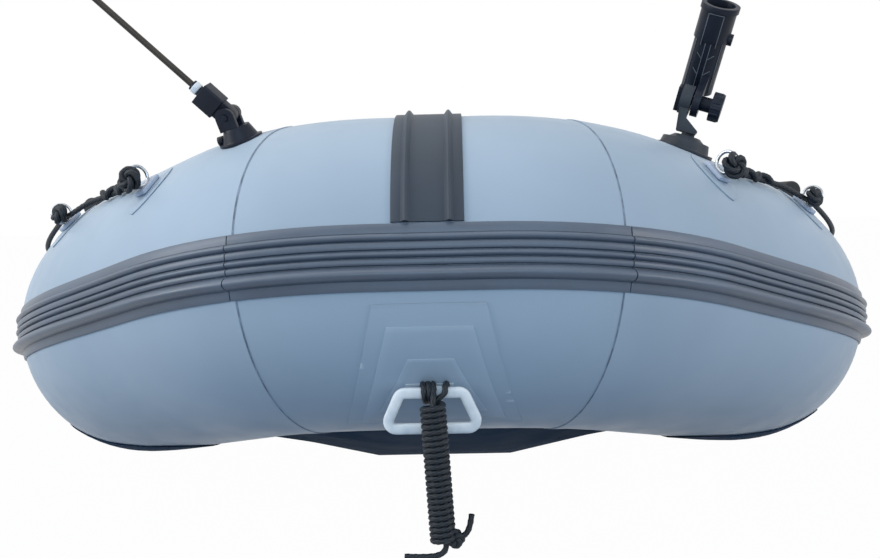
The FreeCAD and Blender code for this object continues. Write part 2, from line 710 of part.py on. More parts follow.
def build_bow_handle():
    bow_axis = Vector(0, BOW_Y, TUBE_Z + BOW_RISE)
    phi = math.radians(HANDLE_DEG)
    bar = handle_bar()
    bar_y = bar.y
    bar_z = bar.z
    top_z = bar_z + HANDLE_BAR / 2
    low_z = top_z - HANDLE_H
    corners = [
        Vector(-HANDLE_TOP_W / 2, bar_y, top_z),
        Vector(HANDLE_TOP_W / 2, bar_y, top_z),
        Vector(HANDLE_BASE_W / 2, bar_y, low_z),
        Vector(-HANDLE_BASE_W / 2, bar_y, low_z),
    ]
    blank = Part.Face(Part.makePolygon(corners + corners[:1])).extrude(Vector(0, HANDLE_T, 0))
    uprights = [e for e in blank.Edges if abs(e.tangentAt(e.FirstParameter).y) > 0.9]
    blank = blank.makeFillet(15.0, uprights)
    front = [f for f in blank.Faces if abs(f.CenterOfMass.y - bar_y) < 0.01][0]
    window = Part.Face(front.OuterWire.makeOffset2D(-HANDLE_BAR)).extrude(Vector(0, HANDLE_T, 0))
    ring = blank.cut(window)
    rims = [e for e in ring.Edges if abs(e.tangentAt(e.FirstParameter).y) < 0.1]
    ring = ring.makeFillet(3.0, rims)
    ring.translate(Vector(0, -HANDLE_T / 2, 0))
    save(ring, "bow_handle")

    band = band_outline(TUBE_R + SEAT, TUBE_R + SEAT + FABRIC_T, -64.0, -6.0)
    sheet = both_halves(band)
    normal = Vector(0, -math.cos(phi), math.sin(phi))
    along = Vector(0, -math.sin(phi), -math.cos(phi))
    spot = bow_axis + normal * (TUBE_R - 80)
    patch_plan = [
        spot - along * HANDLE_PATCH_UP + X_AXIS * HANDLE_PATCH_TOP,
        spot - along * HANDLE_PATCH_UP - X_AXIS * HANDLE_PATCH_TOP,
        spot + along * HANDLE_PATCH_DOWN - X_AXIS * HANDLE_PATCH_LOW,
        spot + along * HANDLE_PATCH_DOWN + X_AXIS * HANDLE_PATCH_LOW,
    ]
    plan = Part.Face(Part.makePolygon(patch_plan + patch_plan[:1])).extrude(normal * 120)
    patch = sheet.common(plan)
    save(patch, "bow_handle_patch")

    clear = HANDLE_BAR / 2 + SEAT
    half_t = HANDLE_T / 2 + SEAT
    left = STRAP_X - STRAP_W / 2
    outer = Part.makeBox(STRAP_W, 2 * (half_t + STRAP_T), 2 * (clear + STRAP_T),
                         Vector(left, bar_y - half_t - STRAP_T, bar_z - clear - STRAP_T))
    inner = Part.makeBox(STRAP_W, 2 * half_t, 2 * clear, Vector(left, bar_y - half_t, bar_z - clear))
    skin_r = TUBE_R + SEAT + FABRIC_T + SEAT
    leg = Part.makeBox(STRAP_W, 40, 3.0, Vector(left, bar_y + half_t, bar_z + 2.0))
    core = Part.makeCylinder(skin_r, 300, Vector(-150, bow_axis.y, bow_axis.z), X_AXIS)
    strap = outer.cut(inner).fuse(leg).cut(core).removeSplitter()
    save(strap, "handle_strap")


# Rod holder on the port bow tube

def rod_frame():
    """Knuckle centre and the directions of the swivel, hinge and cradle axes."""
    spot = tube_frame(ROD_S, ROD_PHI)
    normal = spot["normal"]
    ahead = unit(Vector(0, -1, 0) + normal * normal.y)
    ahead = Rotation(normal, -ROD_SWIVEL_DEG).multVec(ahead)
    hinge = unit(normal.cross(ahead))
    knuckle = spot["at"] + normal * ROD_KNUCKLE_H
    lean = Rotation(hinge, ROD_TILT_DEG)
    axis = lean.multVec(normal)
    face = lean.multVec(ahead)
    return spot, knuckle, hinge, axis, face


def build_rod_holder():
    spot, knuckle, hinge, axis, face = rod_frame()
    normal = spot["normal"]
    at = spot["at"]
    tube_port, tube_starboard = tubes_around(TUBE_R + SEAT)

    lip = Part.makeCylinder(ROD_BASE_R, ROD_BASE_R, at - normal * (ROD_BASE_R / 2), normal)
    lip = lip.common(tubes_around(TUBE_R + ROD_LIP_T)[0])
    body = Part.makeCone(ROD_BODY_R, ROD_BODY_R - 3.0, ROD_LIP_T + ROD_BODY_H, at, normal)
    crown_z = ROD_LIP_T + ROD_BODY_H
    crown = Part.makeCone(ROD_CROWN_R, ROD_CROWN_R - 8.0, ROD_CROWN_H, at + normal * crown_z, normal)
    base = lip.fuse([body, crown]).cut(tube_port)
    socket_z = crown_z - 2 * ROD_LIP_T
    socket = Part.makeCylinder(ROD_NECK_R + SEAT / 2, ROD_FOOT_Z, at + normal * socket_z, normal)
    base = base.cut(socket).removeSplitter()
    save(base, "rod_base")

    neck = Part.makeCylinder(ROD_NECK_R, ROD_FOOT_Z - socket_z, at + normal * (socket_z + 2.0), normal)
    inner_side = ROD_PLATE_OUT - ROD_PLATE_T
    disc = Part.makeCylinder(ROD_KNUCKLE_R, ROD_PLATE_T, knuckle + hinge * inner_side, hinge)
    ahead = unit(hinge.cross(normal))
    foot_inner, foot_outer = ROD_FOOT_X
    foot_high = ROD_KNUCKLE_H - ROD_KNUCKLE_R - 5.0
    profile = [
        (foot_inner, ROD_FOOT_Z),
        (foot_outer - 2.0, ROD_FOOT_Z),
        (foot_outer, ROD_FOOT_Z + 5.0),
        (ROD_PLATE_OUT, foot_high),
        (ROD_PLATE_OUT, ROD_KNUCKLE_H),
        (inner_side, ROD_KNUCKLE_H),
    ]
    corners = [at + hinge * x + normal * z - ahead * ROD_STEM_BACK for x, z in profile]
    stem = Part.Face(Part.makePolygon(corners + corners[:1])).extrude(ahead * ROD_STEM_W)
    post = neck.fuse([stem, disc])
    bolt_hole = Part.makeCylinder(ROD_BOLT_R + SEAT, 80, knuckle - hinge * 40, hinge)
    save(post.cut(bolt_hole).removeSplitter(), "rod_post")

    back = face * -1
    ear_at = knuckle + hinge * (ROD_PLATE_OUT + ROD_EAR_GAP)
    tube_back = ROD_KNUCKLE_R + ROD_TUBE_GAP + ROD_TUBE_R
    tube_at = knuckle + back * tube_back + hinge * ROD_TUBE_SIDE
    ear = Part.makeCylinder(ROD_KNUCKLE_R, ROD_EAR_T, ear_at, hinge)
    web_plan = [
        ear_at - axis * ROD_KNUCKLE_R,
        ear_at + back * (ROD_KNUCKLE_R + ROD_TUBE_GAP) - axis * (ROD_KNUCKLE_R / 4),
        ear_at + back * tube_back + axis * ROD_TUBE_START,
        ear_at + back * tube_back + axis * (2 * ROD_KNUCKLE_R),
        ear_at + axis * ROD_KNUCKLE_R,
    ]
    web = Part.Face(Part.makePolygon(web_plan + web_plan[:1])).extrude(hinge * ROD_EAR_T)
    low_end = tube_at + axis * ROD_TUBE_START
    top_end = tube_at + axis * ROD_TUBE_L
    barrel = Part.makeCylinder(ROD_TUBE_R, ROD_TUBE_L - ROD_TUBE_START, low_end, axis)
    collar = Part.makeCylinder(ROD_TUBE_R + 2.0, ROD_COLLAR_L, top_end - axis * ROD_COLLAR_L, axis)
    rim = Part.makeCylinder(ROD_TUBE_R + 4.0, ROD_RIM_L, top_end - axis * ROD_RIM_L, axis)
    button_at = top_end - axis * (ROD_COLLAR_L - ROD_BUTTON_R / 2) + hinge * (ROD_TUBE_R - 2.0)
    button = Part.makeCylinder(ROD_BUTTON_R, ROD_BUTTON_R, button_at, hinge)
    bore = Part.makeCylinder(ROD_BORE_R, ROD_TUBE_L, low_end + axis * 4, axis)
    cradle = barrel.fuse([collar, rim, button, ear, web]).cut([bore, bolt_hole])
    save(cradle.removeSplitter(), "rod_cradle")

    hub_at = ear_at + hinge * (ROD_EAR_T + SEAT)
    lever_at = knuckle + hinge * (inner_side - SEAT - ROD_LEVER_T)
    bolt_l = ROD_LEVER_T + ROD_PLATE_T + ROD_EAR_GAP + ROD_EAR_T + ROD_HUB_L
    bolt = Part.makeCylinder(ROD_BOLT_R, bolt_l, lever_at, hinge)
    lever_corner = lever_at - axis * (ROD_LEVER_L / 2) - face * (ROD_LEVER_W / 2)
    lever_plan = [
        lever_corner,
        lever_corner + axis * ROD_LEVER_L,
        lever_corner + axis * ROD_LEVER_L + face * ROD_LEVER_W,
        lever_corner + face * ROD_LEVER_W,
    ]
    lever = Part.Face(Part.makePolygon(lever_plan + lever_plan[:1])).extrude(hinge * ROD_LEVER_T)
    hub = Part.makeCylinder(2 * ROD_BOLT_R, ROD_HUB_L, hub_at, hinge)
    knob = Part.makeCylinder(ROD_KNOB_R, ROD_KNOB_L, hub_at + hinge * ROD_HUB_L, hinge)
    clamp = bolt.fuse([lever, hub, knob]).removeSplitter()
    save(clamp, "rod_clamp_knob")


# Staff holder and staff on the starboard bow tube

def staff_frame():
    """Foot, hinge point and axes of the folding staff holder, on the starboard side."""
    spot = tube_frame(STAFF_S, STAFF_PHI)
    at = Vector(-spot["at"].x, spot["at"].y, spot["at"].z)
    normal = Vector(-spot["normal"].x, spot["normal"].y, spot["normal"].z)
    axis = unit(Vector(-0.72, -0.12, 0.68))
    hinge = unit(normal.cross(axis))
    lean = unit(axis - normal * axis.dot(normal))
    pivot = at + normal * STAFF_PIVOT_H + lean * STAFF_PIVOT_LEAN
    return at, normal, pivot, hinge, axis, lean


def slab(corner, sides):
    """A box from one corner and its three edge vectors."""
    a, b, c = sides
    plan = [corner, corner + a, corner + a + b, corner + b]
    return Part.Face(Part.makePolygon(plan + plan[:1])).extrude(c)


def build_staff():
    at, normal, pivot, hinge, axis, lean = staff_frame()
    tube_port, tube_starboard = tubes_around(TUBE_R + SEAT)
    foot = Part.makeCylinder(STAFF_BASE_R, STAFF_BASE_R, at - normal * (STAFF_BASE_R / 2), normal)
    foot = foot.common(tubes_around(TUBE_R + STAFF_FOOT_T)[1])
    bell = Part.makeCone(STAFF_BELL_R, STAFF_BELL_TOP_R, STAFF_FOOT_T + STAFF_BELL_H, at, normal)
    bell_top = STAFF_FOOT_T + STAFF_BELL_H
    ears = []
    for side in (1, -1):
        outward = hinge * (side * STAFF_EAR_T)
        origin = pivot + hinge * (side * STAFF_EAR_X)
        ears.append(Part.makeCylinder(STAFF_DISC_R, STAFF_EAR_T, origin, hinge * side))
        leg_at = origin - lean * STAFF_DISC_R - normal * (STAFF_PIVOT_H - bell_top + 1.0)
        ears.append(slab(leg_at, (lean * (2 * STAFF_DISC_R), normal * (STAFF_PIVOT_H - bell_top + 1.0), outward)))
    screw_at = at + normal * (STAFF_TIP_R - 1.0) + lean * (STAFF_BELL_R - 2.0)
    screw = Part.makeCylinder(STAFF_TIP_R - 1.0, STAFF_TIP_R, screw_at, lean)
    base = foot.fuse([bell, screw] + ears)
    hole = Part.makeCylinder(STAFF_R + SEAT, 60, pivot - hinge * 30, hinge)
    base = base.cut([tube_starboard, hole]).removeSplitter()
    save(base, "staff_base")

    disc_l = 2 * STAFF_EAR_X - 2
    arm_disc = Part.makeCylinder(STAFF_DISC_R, disc_l, pivot - hinge * (disc_l / 2), hinge)
    width = axis.cross(hinge)
    tongue_at = pivot - hinge * (disc_l / 2) - width * STAFF_DISC_R
    tongue = slab(tongue_at, (width * (2 * STAFF_DISC_R), axis * (STAFF_BLOCK_START + 1.0), hinge * disc_l))
    block_at = pivot + axis * STAFF_BLOCK_START - hinge * (STAFF_BLOCK_T / 2) - width * (STAFF_BLOCK_W / 2)
    block = slab(block_at, (width * STAFF_BLOCK_W, hinge * STAFF_BLOCK_T, axis * STAFF_BLOCK_L))
    along = [e for e in block.Edges if abs(e.tangentAt(e.FirstParameter).dot(axis)) > 0.9]
    block = block.makeFillet(3.0, along)
    tip_start = STAFF_BLOCK_START + STAFF_BLOCK_L
    tip = Part.makeCylinder(STAFF_TIP_R, STAFF_TIP_L, pivot + axis * tip_start, axis)
    pin_l = 2 * (STAFF_EAR_X + STAFF_EAR_T + 2.0)
    pin = Part.makeCylinder(STAFF_R, pin_l, pivot - hinge * (pin_l / 2), hinge)
    knob = Part.makeCylinder(STAFF_DISC_R - 2.0, 8, pivot - hinge * (pin_l / 2 + 7.0), hinge)
    holder = arm_disc.fuse([tongue, block, tip, pin, knob])
    bore = Part.makeCylinder(STAFF_R + SEAT / 2, tip_start + STAFF_TIP_L, pivot + axis * STAFF_BORE_START, axis)
    save(holder.cut(bore).removeSplitter(), "staff_socket")

    staff = Part.makeCylinder(STAFF_R, STAFF_L, pivot + axis * (STAFF_BORE_START + 0.5), axis)
    save(staff, "staff")


# Valves

VALVE_FORE = 285.0
VALVE_DEG = 118.0


def build_valves():
    spot = run_at(STRAIGHT_REAR, STRAIGHT_REAR["length"] - VALVE_FORE)
    twist = math.degrees(math.atan2(spot["out"].z, spot["out"].x))
    phi = math.radians(VALVE_DEG - twist)
    normal = spot["out"] * math.cos(phi) + spot["up"] * math.sin(phi)
    at = spot["at"] + normal * TUBE_R
    tube_port, tube_starboard = tubes_around(TUBE_R + SEAT)
    flange = Part.makeCylinder(30, 8, at - normal * 4, normal).cut(tube_port)
    cap = Part.makeCone(22, 19, 10, at + normal * 4, normal)
    save_pair(flange.fuse(cap).removeSplitter(), "valve")
    deck_at = Vector(DECK_VALVE_X, TRANSOM_Y - DECK_VALVE_BACK, DECK_Z + DECK_T)
    flange = Part.makeCylinder(32, 4, deck_at, Z_AXIS)
    cap = Part.makeCone(23, 20, 9, deck_at + Z_AXIS * 4, Z_AXIS)
    save(flange.fuse(cap).removeSplitter(), "deck_valve")


# Grab line rings along the tubes

RING_SPACING = 500.0
RING_LAST_FORE = 163.0
RING_PHI = 52.0
RING_PHI_AFT = 64.0
RING_R = 14.0
RING_WIRE_R = 2.2
RING_STAND = 5.0
RING_TAB_R = 9.0
PATCH_HALF_L = 46.0
PATCH_HALF_W = 32.0
RING_LAST_S = STRAIGHT_REAR["s"] + STRAIGHT_REAR["length"] - RING_LAST_FORE
BOW_RING_S = (275.0, 500.0)
RING_SPOTS = list(BOW_RING_S) + [RING_LAST_S - RING_SPACING * k for k in (3, 2, 1, 0)]


def ring_phi(s):
    """The ring's angle in the section frame, kept level as the frame turns along the bow."""
    share = min(max((s - BOW_RING_S[0]) / (RING_SPOTS[2] - BOW_RING_S[0]), 0.0), 1.0)
    return RING_PHI + (RING_PHI_AFT - RING_PHI) * share


def patch_shape(s, phi):
    """A pointed patch on the tube's skin, its points up and down the tube's side."""
    spot = tube_frame(s, phi)
    ends = [spot["at"] + spot["across"] * PATCH_HALF_L, spot["at"] - spot["across"] * PATCH_HALF_L]
    sides = [spot["at"] + spot["along"] * PATCH_HALF_W, spot["at"] - spot["along"] * PATCH_HALF_W]
    leaf = Part.Wire([Part.Arc(ends[0], sides[0], ends[1]).toShape(),
                      Part.Arc(ends[1], sides[1], ends[0]).toShape()])
    face = Part.Face(leaf)
    face.translate(spot["normal"] * -30)
    leaf = face.extrude(spot["normal"] * 40)
    shell_runs = []
    for run in RUNS:
        a = max(s - PATCH_HALF_L - run["s"], 0)
        b = min(s + PATCH_HALF_L - run["s"], run["length"])
        if b > a + 1:
            shell_runs.append(cut_run(run, a, b))
    reach = math.degrees(PATCH_HALF_L / TUBE_R) + 2
    band = band_outline(TUBE_R + SEAT, TUBE_R + SEAT + FABRIC_T, phi - reach, phi + reach)
    return swept(band, shell_runs).common(leaf)


def build_rings():
    patches = []
    rings = []
    for s in RING_SPOTS:
        phi = ring_phi(s)
        spot = tube_frame(s, phi)
        at = spot["at"]
        normal = spot["normal"]
        ring_at = at + normal * (SEAT + FABRIC_T + SEAT + RING_STAND + RING_R)
        rings.append(Part.makeTorus(RING_R, RING_WIRE_R, ring_at, spot["along"]))
        tab = Part.makeCylinder(RING_TAB_R, RING_STAND + 1, at + normal * (SEAT + FABRIC_T - 0.4), normal)
        groove = Part.makeTorus(RING_R, RING_WIRE_R + SEAT, ring_at, spot["along"])
        patches.append(patch_shape(s, phi).fuse(tab.cut(groove)).removeSplitter())
    save_pair(Part.makeCompound(patches), "line_patches")
    save_pair(Part.makeCompound(rings), "line_rings")


# Ropes

PAINTER_R = 3.5
LINE_R = 4.0
LINE_KNOT_R = 9.0
LINE_ROUTE = [
    (382, -1303, 494), (393, -1277, 488), (411, -1245, 483), (433, -1217, 479), (457, -1192, 474),
    (491, -1170, 467), (525, -1156, 449), (553, -1113, 443), (614, -1032, 404), (652, -913, 382),
    (672, -809, 360), (677, -712, 355), (684, -617, 353), (669, -537, 368), (668, -507, 368),
    (685, -440, 350), (687, -356, 343), (690, -273, 341), (686, -190, 344), (685, -106, 348),
    (668, -37, 368), (668, -7, 368), (685, 60, 348), (686, 144, 344), (690, 227, 341),
    (687, 310, 343), (685, 394, 349), (668, 463, 368), (668, 493, 368), (685, 560, 348),
    (686, 644, 344), (690, 727, 341), (687, 810, 343), (685, 894, 349), (668, 963, 368),
    (665, 1002, 370),
]


def rope_path(points):
    """Straight runs joined by tangent arcs, each arc as large as its two runs allow."""
    edges = []
    here = points[0]
    smallest = 1e9
    for k in range(1, len(points) - 1):
        before = points[k] - points[k - 1]
        after = points[k + 1] - points[k]
        turn = before.getAngle(after)
        reach = 0.45 * min(before.Length, after.Length)
        smallest = min(smallest, reach / math.tan(turn / 2))
        start = points[k] - unit(before) * reach
        end = points[k] + unit(after) * reach
        chord = unit(unit(after) - unit(before))
        middle = points[k] + chord * (reach / math.cos(turn / 2) * (1 / math.cos(turn / 2) - 1)
                                      / math.tan(turn / 2) * math.cos(turn / 2))
        edges.append(Part.makeLine(here, start))
        edges.append(Part.Arc(start, middle, end).toShape())
        here = end
    edges.append(Part.makeLine(here, points[-1]))
    return Part.Wire(edges), smallest


def rope(points, radius, name):
    path, smallest = rope_path(points)
    ring = Part.Wire(Part.makeCircle(radius, points[0], points[1] - points[0]))
    tube = path.makePipeShell([ring], True, False)
    want = math.pi * radius ** 2 * path.Length
    print(name, "length", round(path.Length), "smallest radius", round(smallest),
          "volume ratio", round(tube.Volume / want, 4))
    return tube


def build_lines():
    route = [Vector(*p) for p in LINE_ROUTE]
    line = rope(route, LINE_R, "line")
    knots = [Part.makeSphere(LINE_KNOT_R, route[0] + unit(route[0] - route[1]) * LINE_R),
             Part.makeSphere(LINE_KNOT_R, route[-1] + unit(route[-1] - route[-2]) * LINE_R)]
    save_pair(line.fuse(knots).removeSplitter(), "grab_line")


HANK_R = 15.5
HANK_X = (1.0, 10.0)
HANK_OUT = (23.3, 22.8)
HANK_DROP = (2.5, 169.5)
HITCH_X = (-9.0, 18.0)
PAINTER_TAIL = [(14, -1498, 70), (10, -1499, 59), (-8, -1501, 56), (-34, -1502, 58)]
PAINTER_END = [(19, -1498, 76), (32, -1499, 78), (40, -1500, 88), (42, -1500, 104)]


def build_painter():
    bar = handle_bar()
    top, low = [bar + Vector(HANK_X[k], -HANK_OUT[k], -HANK_DROP[k]) for k in (0, 1)]
    down = low - top
    hank = Part.makeCylinder(HANK_R, down.Length, top, down)
    ends = [e for e in hank.Edges if isinstance(e.Curve, Part.Circle)]
    hank = hank.makeFillet(3.0, ends)
    save(hank, "painter_hank")
    loops = [Part.makeTorus(HANDLE_BAR / 2 + PAINTER_R + 0.9, PAINTER_R, bar + X_AXIS * x, X_AXIS)
             for x in HITCH_X]
    save(Part.makeCompound(loops), "painter_hitch")
    tails = []
    for route in (PAINTER_TAIL, PAINTER_END):
        tails.append(rope([Vector(*p) for p in route], PAINTER_R, "painter end"))
    save(Part.makeCompound(tails), "painter_ends")


build_tubes()
build_strake()
build_chafe_pad()
build_bottom_wraps()
build_bottom()
build_deck_and_transom()
build_benches()
build_oars()
build_bow_handle()
build_rod_holder()
build_staff()
build_valves()
build_rings()
build_lines()
build_painter()
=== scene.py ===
import json
import math

import bpy
from mathutils import Matrix, Vector


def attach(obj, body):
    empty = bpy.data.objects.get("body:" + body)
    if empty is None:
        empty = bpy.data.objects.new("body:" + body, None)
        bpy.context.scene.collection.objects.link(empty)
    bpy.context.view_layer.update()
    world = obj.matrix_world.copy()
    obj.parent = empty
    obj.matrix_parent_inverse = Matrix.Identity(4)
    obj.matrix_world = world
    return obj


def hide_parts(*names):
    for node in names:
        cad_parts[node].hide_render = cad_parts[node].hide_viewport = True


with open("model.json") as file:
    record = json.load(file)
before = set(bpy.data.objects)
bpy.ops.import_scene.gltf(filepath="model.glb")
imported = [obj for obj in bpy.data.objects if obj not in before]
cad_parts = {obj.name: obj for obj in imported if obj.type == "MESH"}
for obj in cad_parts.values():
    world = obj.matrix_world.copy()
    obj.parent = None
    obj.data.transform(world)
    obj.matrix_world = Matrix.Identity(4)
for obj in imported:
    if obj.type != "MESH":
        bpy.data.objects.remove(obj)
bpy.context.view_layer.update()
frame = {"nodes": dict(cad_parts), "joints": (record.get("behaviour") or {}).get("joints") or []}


# The studio
# The boat stands on a pale floor with soft light from above and from both sides.
# The camera is low and close in front of the bow, and looks a little down.

CAMERA_AT = Vector((0.0345, -2.60765, 0.44018))
CAMERA_YAW = 0.019545
CAMERA_PITCH = 0.0656
CAMERA_ROLL = -0.02345
CAMERA_LENS = 41.39
WHITE = (1, 1, 1, 1)
FLOOR_GLOW = 0.985


def add_to_scene(obj):
    bpy.context.scene.collection.objects.link(obj)
    return obj


def pick(obj):
    bpy.ops.object.select_all(action="DESELECT")
    obj.select_set(True)
    bpy.context.view_layer.objects.active = obj
    return obj


def settle(name):
    """Names the active object and moves its place into its mesh."""
    obj = bpy.context.object
    obj.name = name
    obj.data.name = name
    pick(obj)
    bpy.ops.object.transform_apply(location=True, rotation=True, scale=True)
    return obj


def set_inputs(node, **values):
    """Sets a node's inputs by name, with _ for a space."""
    for socket, value in values.items():
        node.inputs[socket.replace("_", " ")].default_value = value
    return node


def new_node(tree, kind, **values):
    return set_inputs(tree.nodes.new("ShaderNode" + kind), **values)


def calculate(tree, operation, *values):
    """The result of one operation on values that are each a socket or a number."""
    node = tree.nodes.new("ShaderNodeMath")
    node.operation = operation
    for socket, value in zip(node.inputs, values):
        if isinstance(value, float):
            socket.default_value = value
        else:
            tree.links.new(value, socket)
    return node.outputs[0]


def plain_material(name, colour, roughness, **sockets):
    """A material with one shader, to which the other functions add detail."""
    material = bpy.data.materials.new(name)
    material.use_nodes = True
    shader = material.node_tree.nodes["Principled BSDF"]
    set_inputs(shader, Base_Color=(*colour, 1), Roughness=roughness, **sockets)
    return material


def set_camera():
    data = bpy.data.cameras.new("camera")
    data.lens = CAMERA_LENS
    data.sensor_width = 36.0
    data.clip_start = 0.05
    camera = add_to_scene(bpy.data.objects.new("camera", data))
    camera.matrix_world = (Matrix.Translation(CAMERA_AT) @ Matrix.Rotation(CAMERA_YAW, 4, "Z")
                           @ Matrix.Rotation(math.pi / 2 - CAMERA_PITCH, 4, "X")
                           @ Matrix.Rotation(CAMERA_ROLL, 4, "Z"))
    bpy.context.scene.camera = camera


def seen_directly(tree):
    """1 for what the camera sees, also in gloss or glass, and 0 for light that falls on things."""
    rays = tree.nodes.new("ShaderNodeLightPath").outputs
    seen = calculate(tree, "MAXIMUM", rays["Is Camera Ray"], rays["Is Glossy Ray"])
    return calculate(tree, "MAXIMUM", seen, rays["Is Transmission Ray"])


def show_another(tree, factor, lit, shown, output):
    """One shader gives the light that falls on things, and another is what the camera sees."""
    mix = tree.nodes.new("ShaderNodeMixShader")
    for source, socket in zip((factor, lit.outputs[0], shown.outputs[0]), mix.inputs):
        tree.links.new(source, socket)
    tree.links.new(mix.outputs[0], tree.nodes[output].inputs["Surface"])


def set_world():
    world = bpy.data.worlds.new("studio")
    bpy.context.scene.world = world
    world.use_nodes = True
    tree = world.node_tree
    lit = set_inputs(tree.nodes["Background"], Color=(0.88, 0.94, 1.0, 1), Strength=0.40)
    shown = new_node(tree, "Background", Color=WHITE, Strength=1.0)
    show_another(tree, seen_directly(tree), lit, shown, "World Output")


def set_floor():
    bpy.ops.mesh.primitive_plane_add(size=60, location=(0, 0, -0.0005))
    floor = settle("floor")
    material = plain_material("pale_floor", (0.14, 0.20, 0.28), 0.9)
    tree = material.node_tree
    glow = new_node(tree, "Emission", Color=WHITE, Strength=1.0)
    factor = calculate(tree, "MULTIPLY", seen_directly(tree), FLOOR_GLOW)
    show_another(tree, factor, tree.nodes["Principled BSDF"], glow, "Material Output")
    floor.data.materials.append(material)


def soft_lamp(name, at, aim, size, power, colour):
    data = bpy.data.lights.new(name, "AREA")
    data.shape = "RECTANGLE"
    data.size, data.size_y = size
    data.energy = power
    data.color = colour
    lamp = add_to_scene(bpy.data.objects.new(name, data))
    lamp.location = at
    lamp.rotation_euler = (Vector(aim) - Vector(at)).to_track_quat("-Z", "Y").to_euler()


bpy.context.scene.view_settings.view_transform = "Standard"
set_camera()
set_world()
set_floor()
soft_lamp("overhead", (-0.9, -1.0, 3.6), (0, -0.6, 0.3), (4.2, 4.2), 56, (1.0, 0.985, 0.96))
soft_lamp("left_side", (-3.6, -2.2, 1.9), (0, -1.0, 0.4), (2.0, 2.6), 94, (0.97, 0.99, 1.0))
soft_lamp("right_side", (3.6, -2.6, 1.6), (0, -1.0, 0.4), (1.8, 2.2), 54, (1.0, 0.98, 0.97))
soft_lamp("front", (0.3, -5.6, 1.5), (0, -1.4, 0.4), (3.4, 1.6), 60, (0.56, 0.80, 1.0))


# Inflated tubes
# The hull is a ring of 400 mm air tube in grey coated fabric: a middle panel across the bow,
# a bent panel at each shoulder, a straight side tube and a long stern cone. The panels are cut
# as tapes of fabric and glued edge over edge, so each joint shows as one thin step.

LENGTH = 3.0
TUBE_R = 0.2
TUBE_Z = 0.202
SIDE_X = 0.534
BOW_RISE = 0.16
BOW_HALF = 0.162
SHOULDER = Vector((0.473, 0.277, 0.071))
SIDE_BACK = 0.715
BEND_RADII = (0.25, 0.45, 0.4)
CONE_L = 0.33
CAP_L = 0.03
CONE_TIP_R = 0.072
BOW_Y = TUBE_R - LENGTH / 2
CONE_Y = LENGTH / 2 - CAP_L - CONE_L
TUBE_SIDES = 96


def run_at(run, distance):
    if "turn" not in run:
        return dict(run, at=run["at"] + run["ahead"] * distance)
    spin = Matrix.Rotation(run["turn"] * distance / run["length"], 3, run["axis"])
    moved = {key: spin @ run[key] for key in ("ahead", "out", "up")}
    return dict(run, at=run["centre"] + spin @ (run["at"] - run["centre"]), **moved)


def centre_line():
    """The port tube's straight runs and bends from the bow's middle, each with its out and up."""
    corners = [
        Vector((0, BOW_Y, TUBE_Z + BOW_RISE)),
        Vector((BOW_HALF, BOW_Y, TUBE_Z + BOW_RISE)),
        Vector((SHOULDER.x, BOW_Y + SHOULDER.y, TUBE_Z + SHOULDER.z)),
        Vector((SIDE_X, BOW_Y + SIDE_BACK, TUBE_Z)),
        Vector((SIDE_X, CONE_Y, TUBE_Z)),
    ]
    runs = []
    run = {"at": corners[0], "out": Vector((0, -1, 0)), "up": Vector((0, 0, 1)), "s": 0.0}
    for k, radius in enumerate(BEND_RADII, 1):
        ahead = (corners[k] - corners[k - 1]).normalized()
        after = (corners[k + 1] - corners[k]).normalized()
        turn = ahead.angle(after)
        start = corners[k] - ahead * (radius * math.tan(turn / 2))
        run.update(ahead=ahead, length=(start - run["at"]).length)
        centre = start + (after - ahead * ahead.dot(after)).normalized() * radius
        bend = dict(run, at=start, length=radius * turn, s=run["s"] + run["length"], centre=centre,
                    axis=ahead.cross(after).normalized(), turn=turn)
        runs += [run, bend]
        end = run_at(bend, bend["length"])
        run = {"at": end["at"], "out": end["out"], "up": end["up"], "s": bend["s"] + bend["length"]}
    last = corners[-1] - run["at"]
    runs.append(dict(run, ahead=last.normalized(), length=last.length))
    return runs


RUNS = centre_line()


def runs_between(start, end):
    """The stretch of the centre line between two distances from the bow's middle."""
    pieces = []
    for run in RUNS:
        low = max(start - run["s"], 0)
        length = min(end - run["s"], run["length"]) - low
        if length > 1e-5:
            piece = dict(run_at(run, low), length=length, s=run["s"] + low)
            if "turn" in run:
                piece["turn"] = run["turn"] * length / run["length"]
            pieces.append(piece)
    return pieces


def section_at(s):
    """The tube's section at a distance from the bow's middle."""
    run = [r for r in RUNS if r["s"] <= s + 1e-9][-1]
    return run_at(run, s - run["s"])


def skin_spot(s, degrees):
    """A place on the tube's skin: the point, the way out of it, along the tube and across."""
    section = section_at(s)
    angle = math.radians(degrees)
    normal = section["out"] * math.cos(angle) + section["up"] * math.sin(angle)
    along = section["ahead"].normalized()
    return section["at"] + normal * TUBE_R, normal, along, normal.cross(along)


def round_bow(x, radius, angle):
    """A place round the bow tube's axis, from its front upwards."""
    return Vector((x, BOW_Y - radius * math.cos(angle), TUBE_Z + BOW_RISE + radius * math.sin(angle)))


def drawn_ring(name, count, radius=TUBE_R, **place):
    """A closed line of points, to be extruded or spun."""
    bpy.ops.mesh.primitive_circle_add(vertices=count, radius=radius, fill_type="NOTHING", **place)
    return settle(name)


def open_all(obj):
    pick(obj)
    bpy.ops.object.mode_set(mode="EDIT")
    bpy.ops.mesh.select_mode(type="VERT")
    bpy.ops.mesh.select_all(action="SELECT")


def close_edit():
    bpy.ops.object.mode_set(mode="OBJECT")


def extrude(step):
    bpy.ops.mesh.extrude_region_move(TRANSFORM_OT_translate={"value": step})


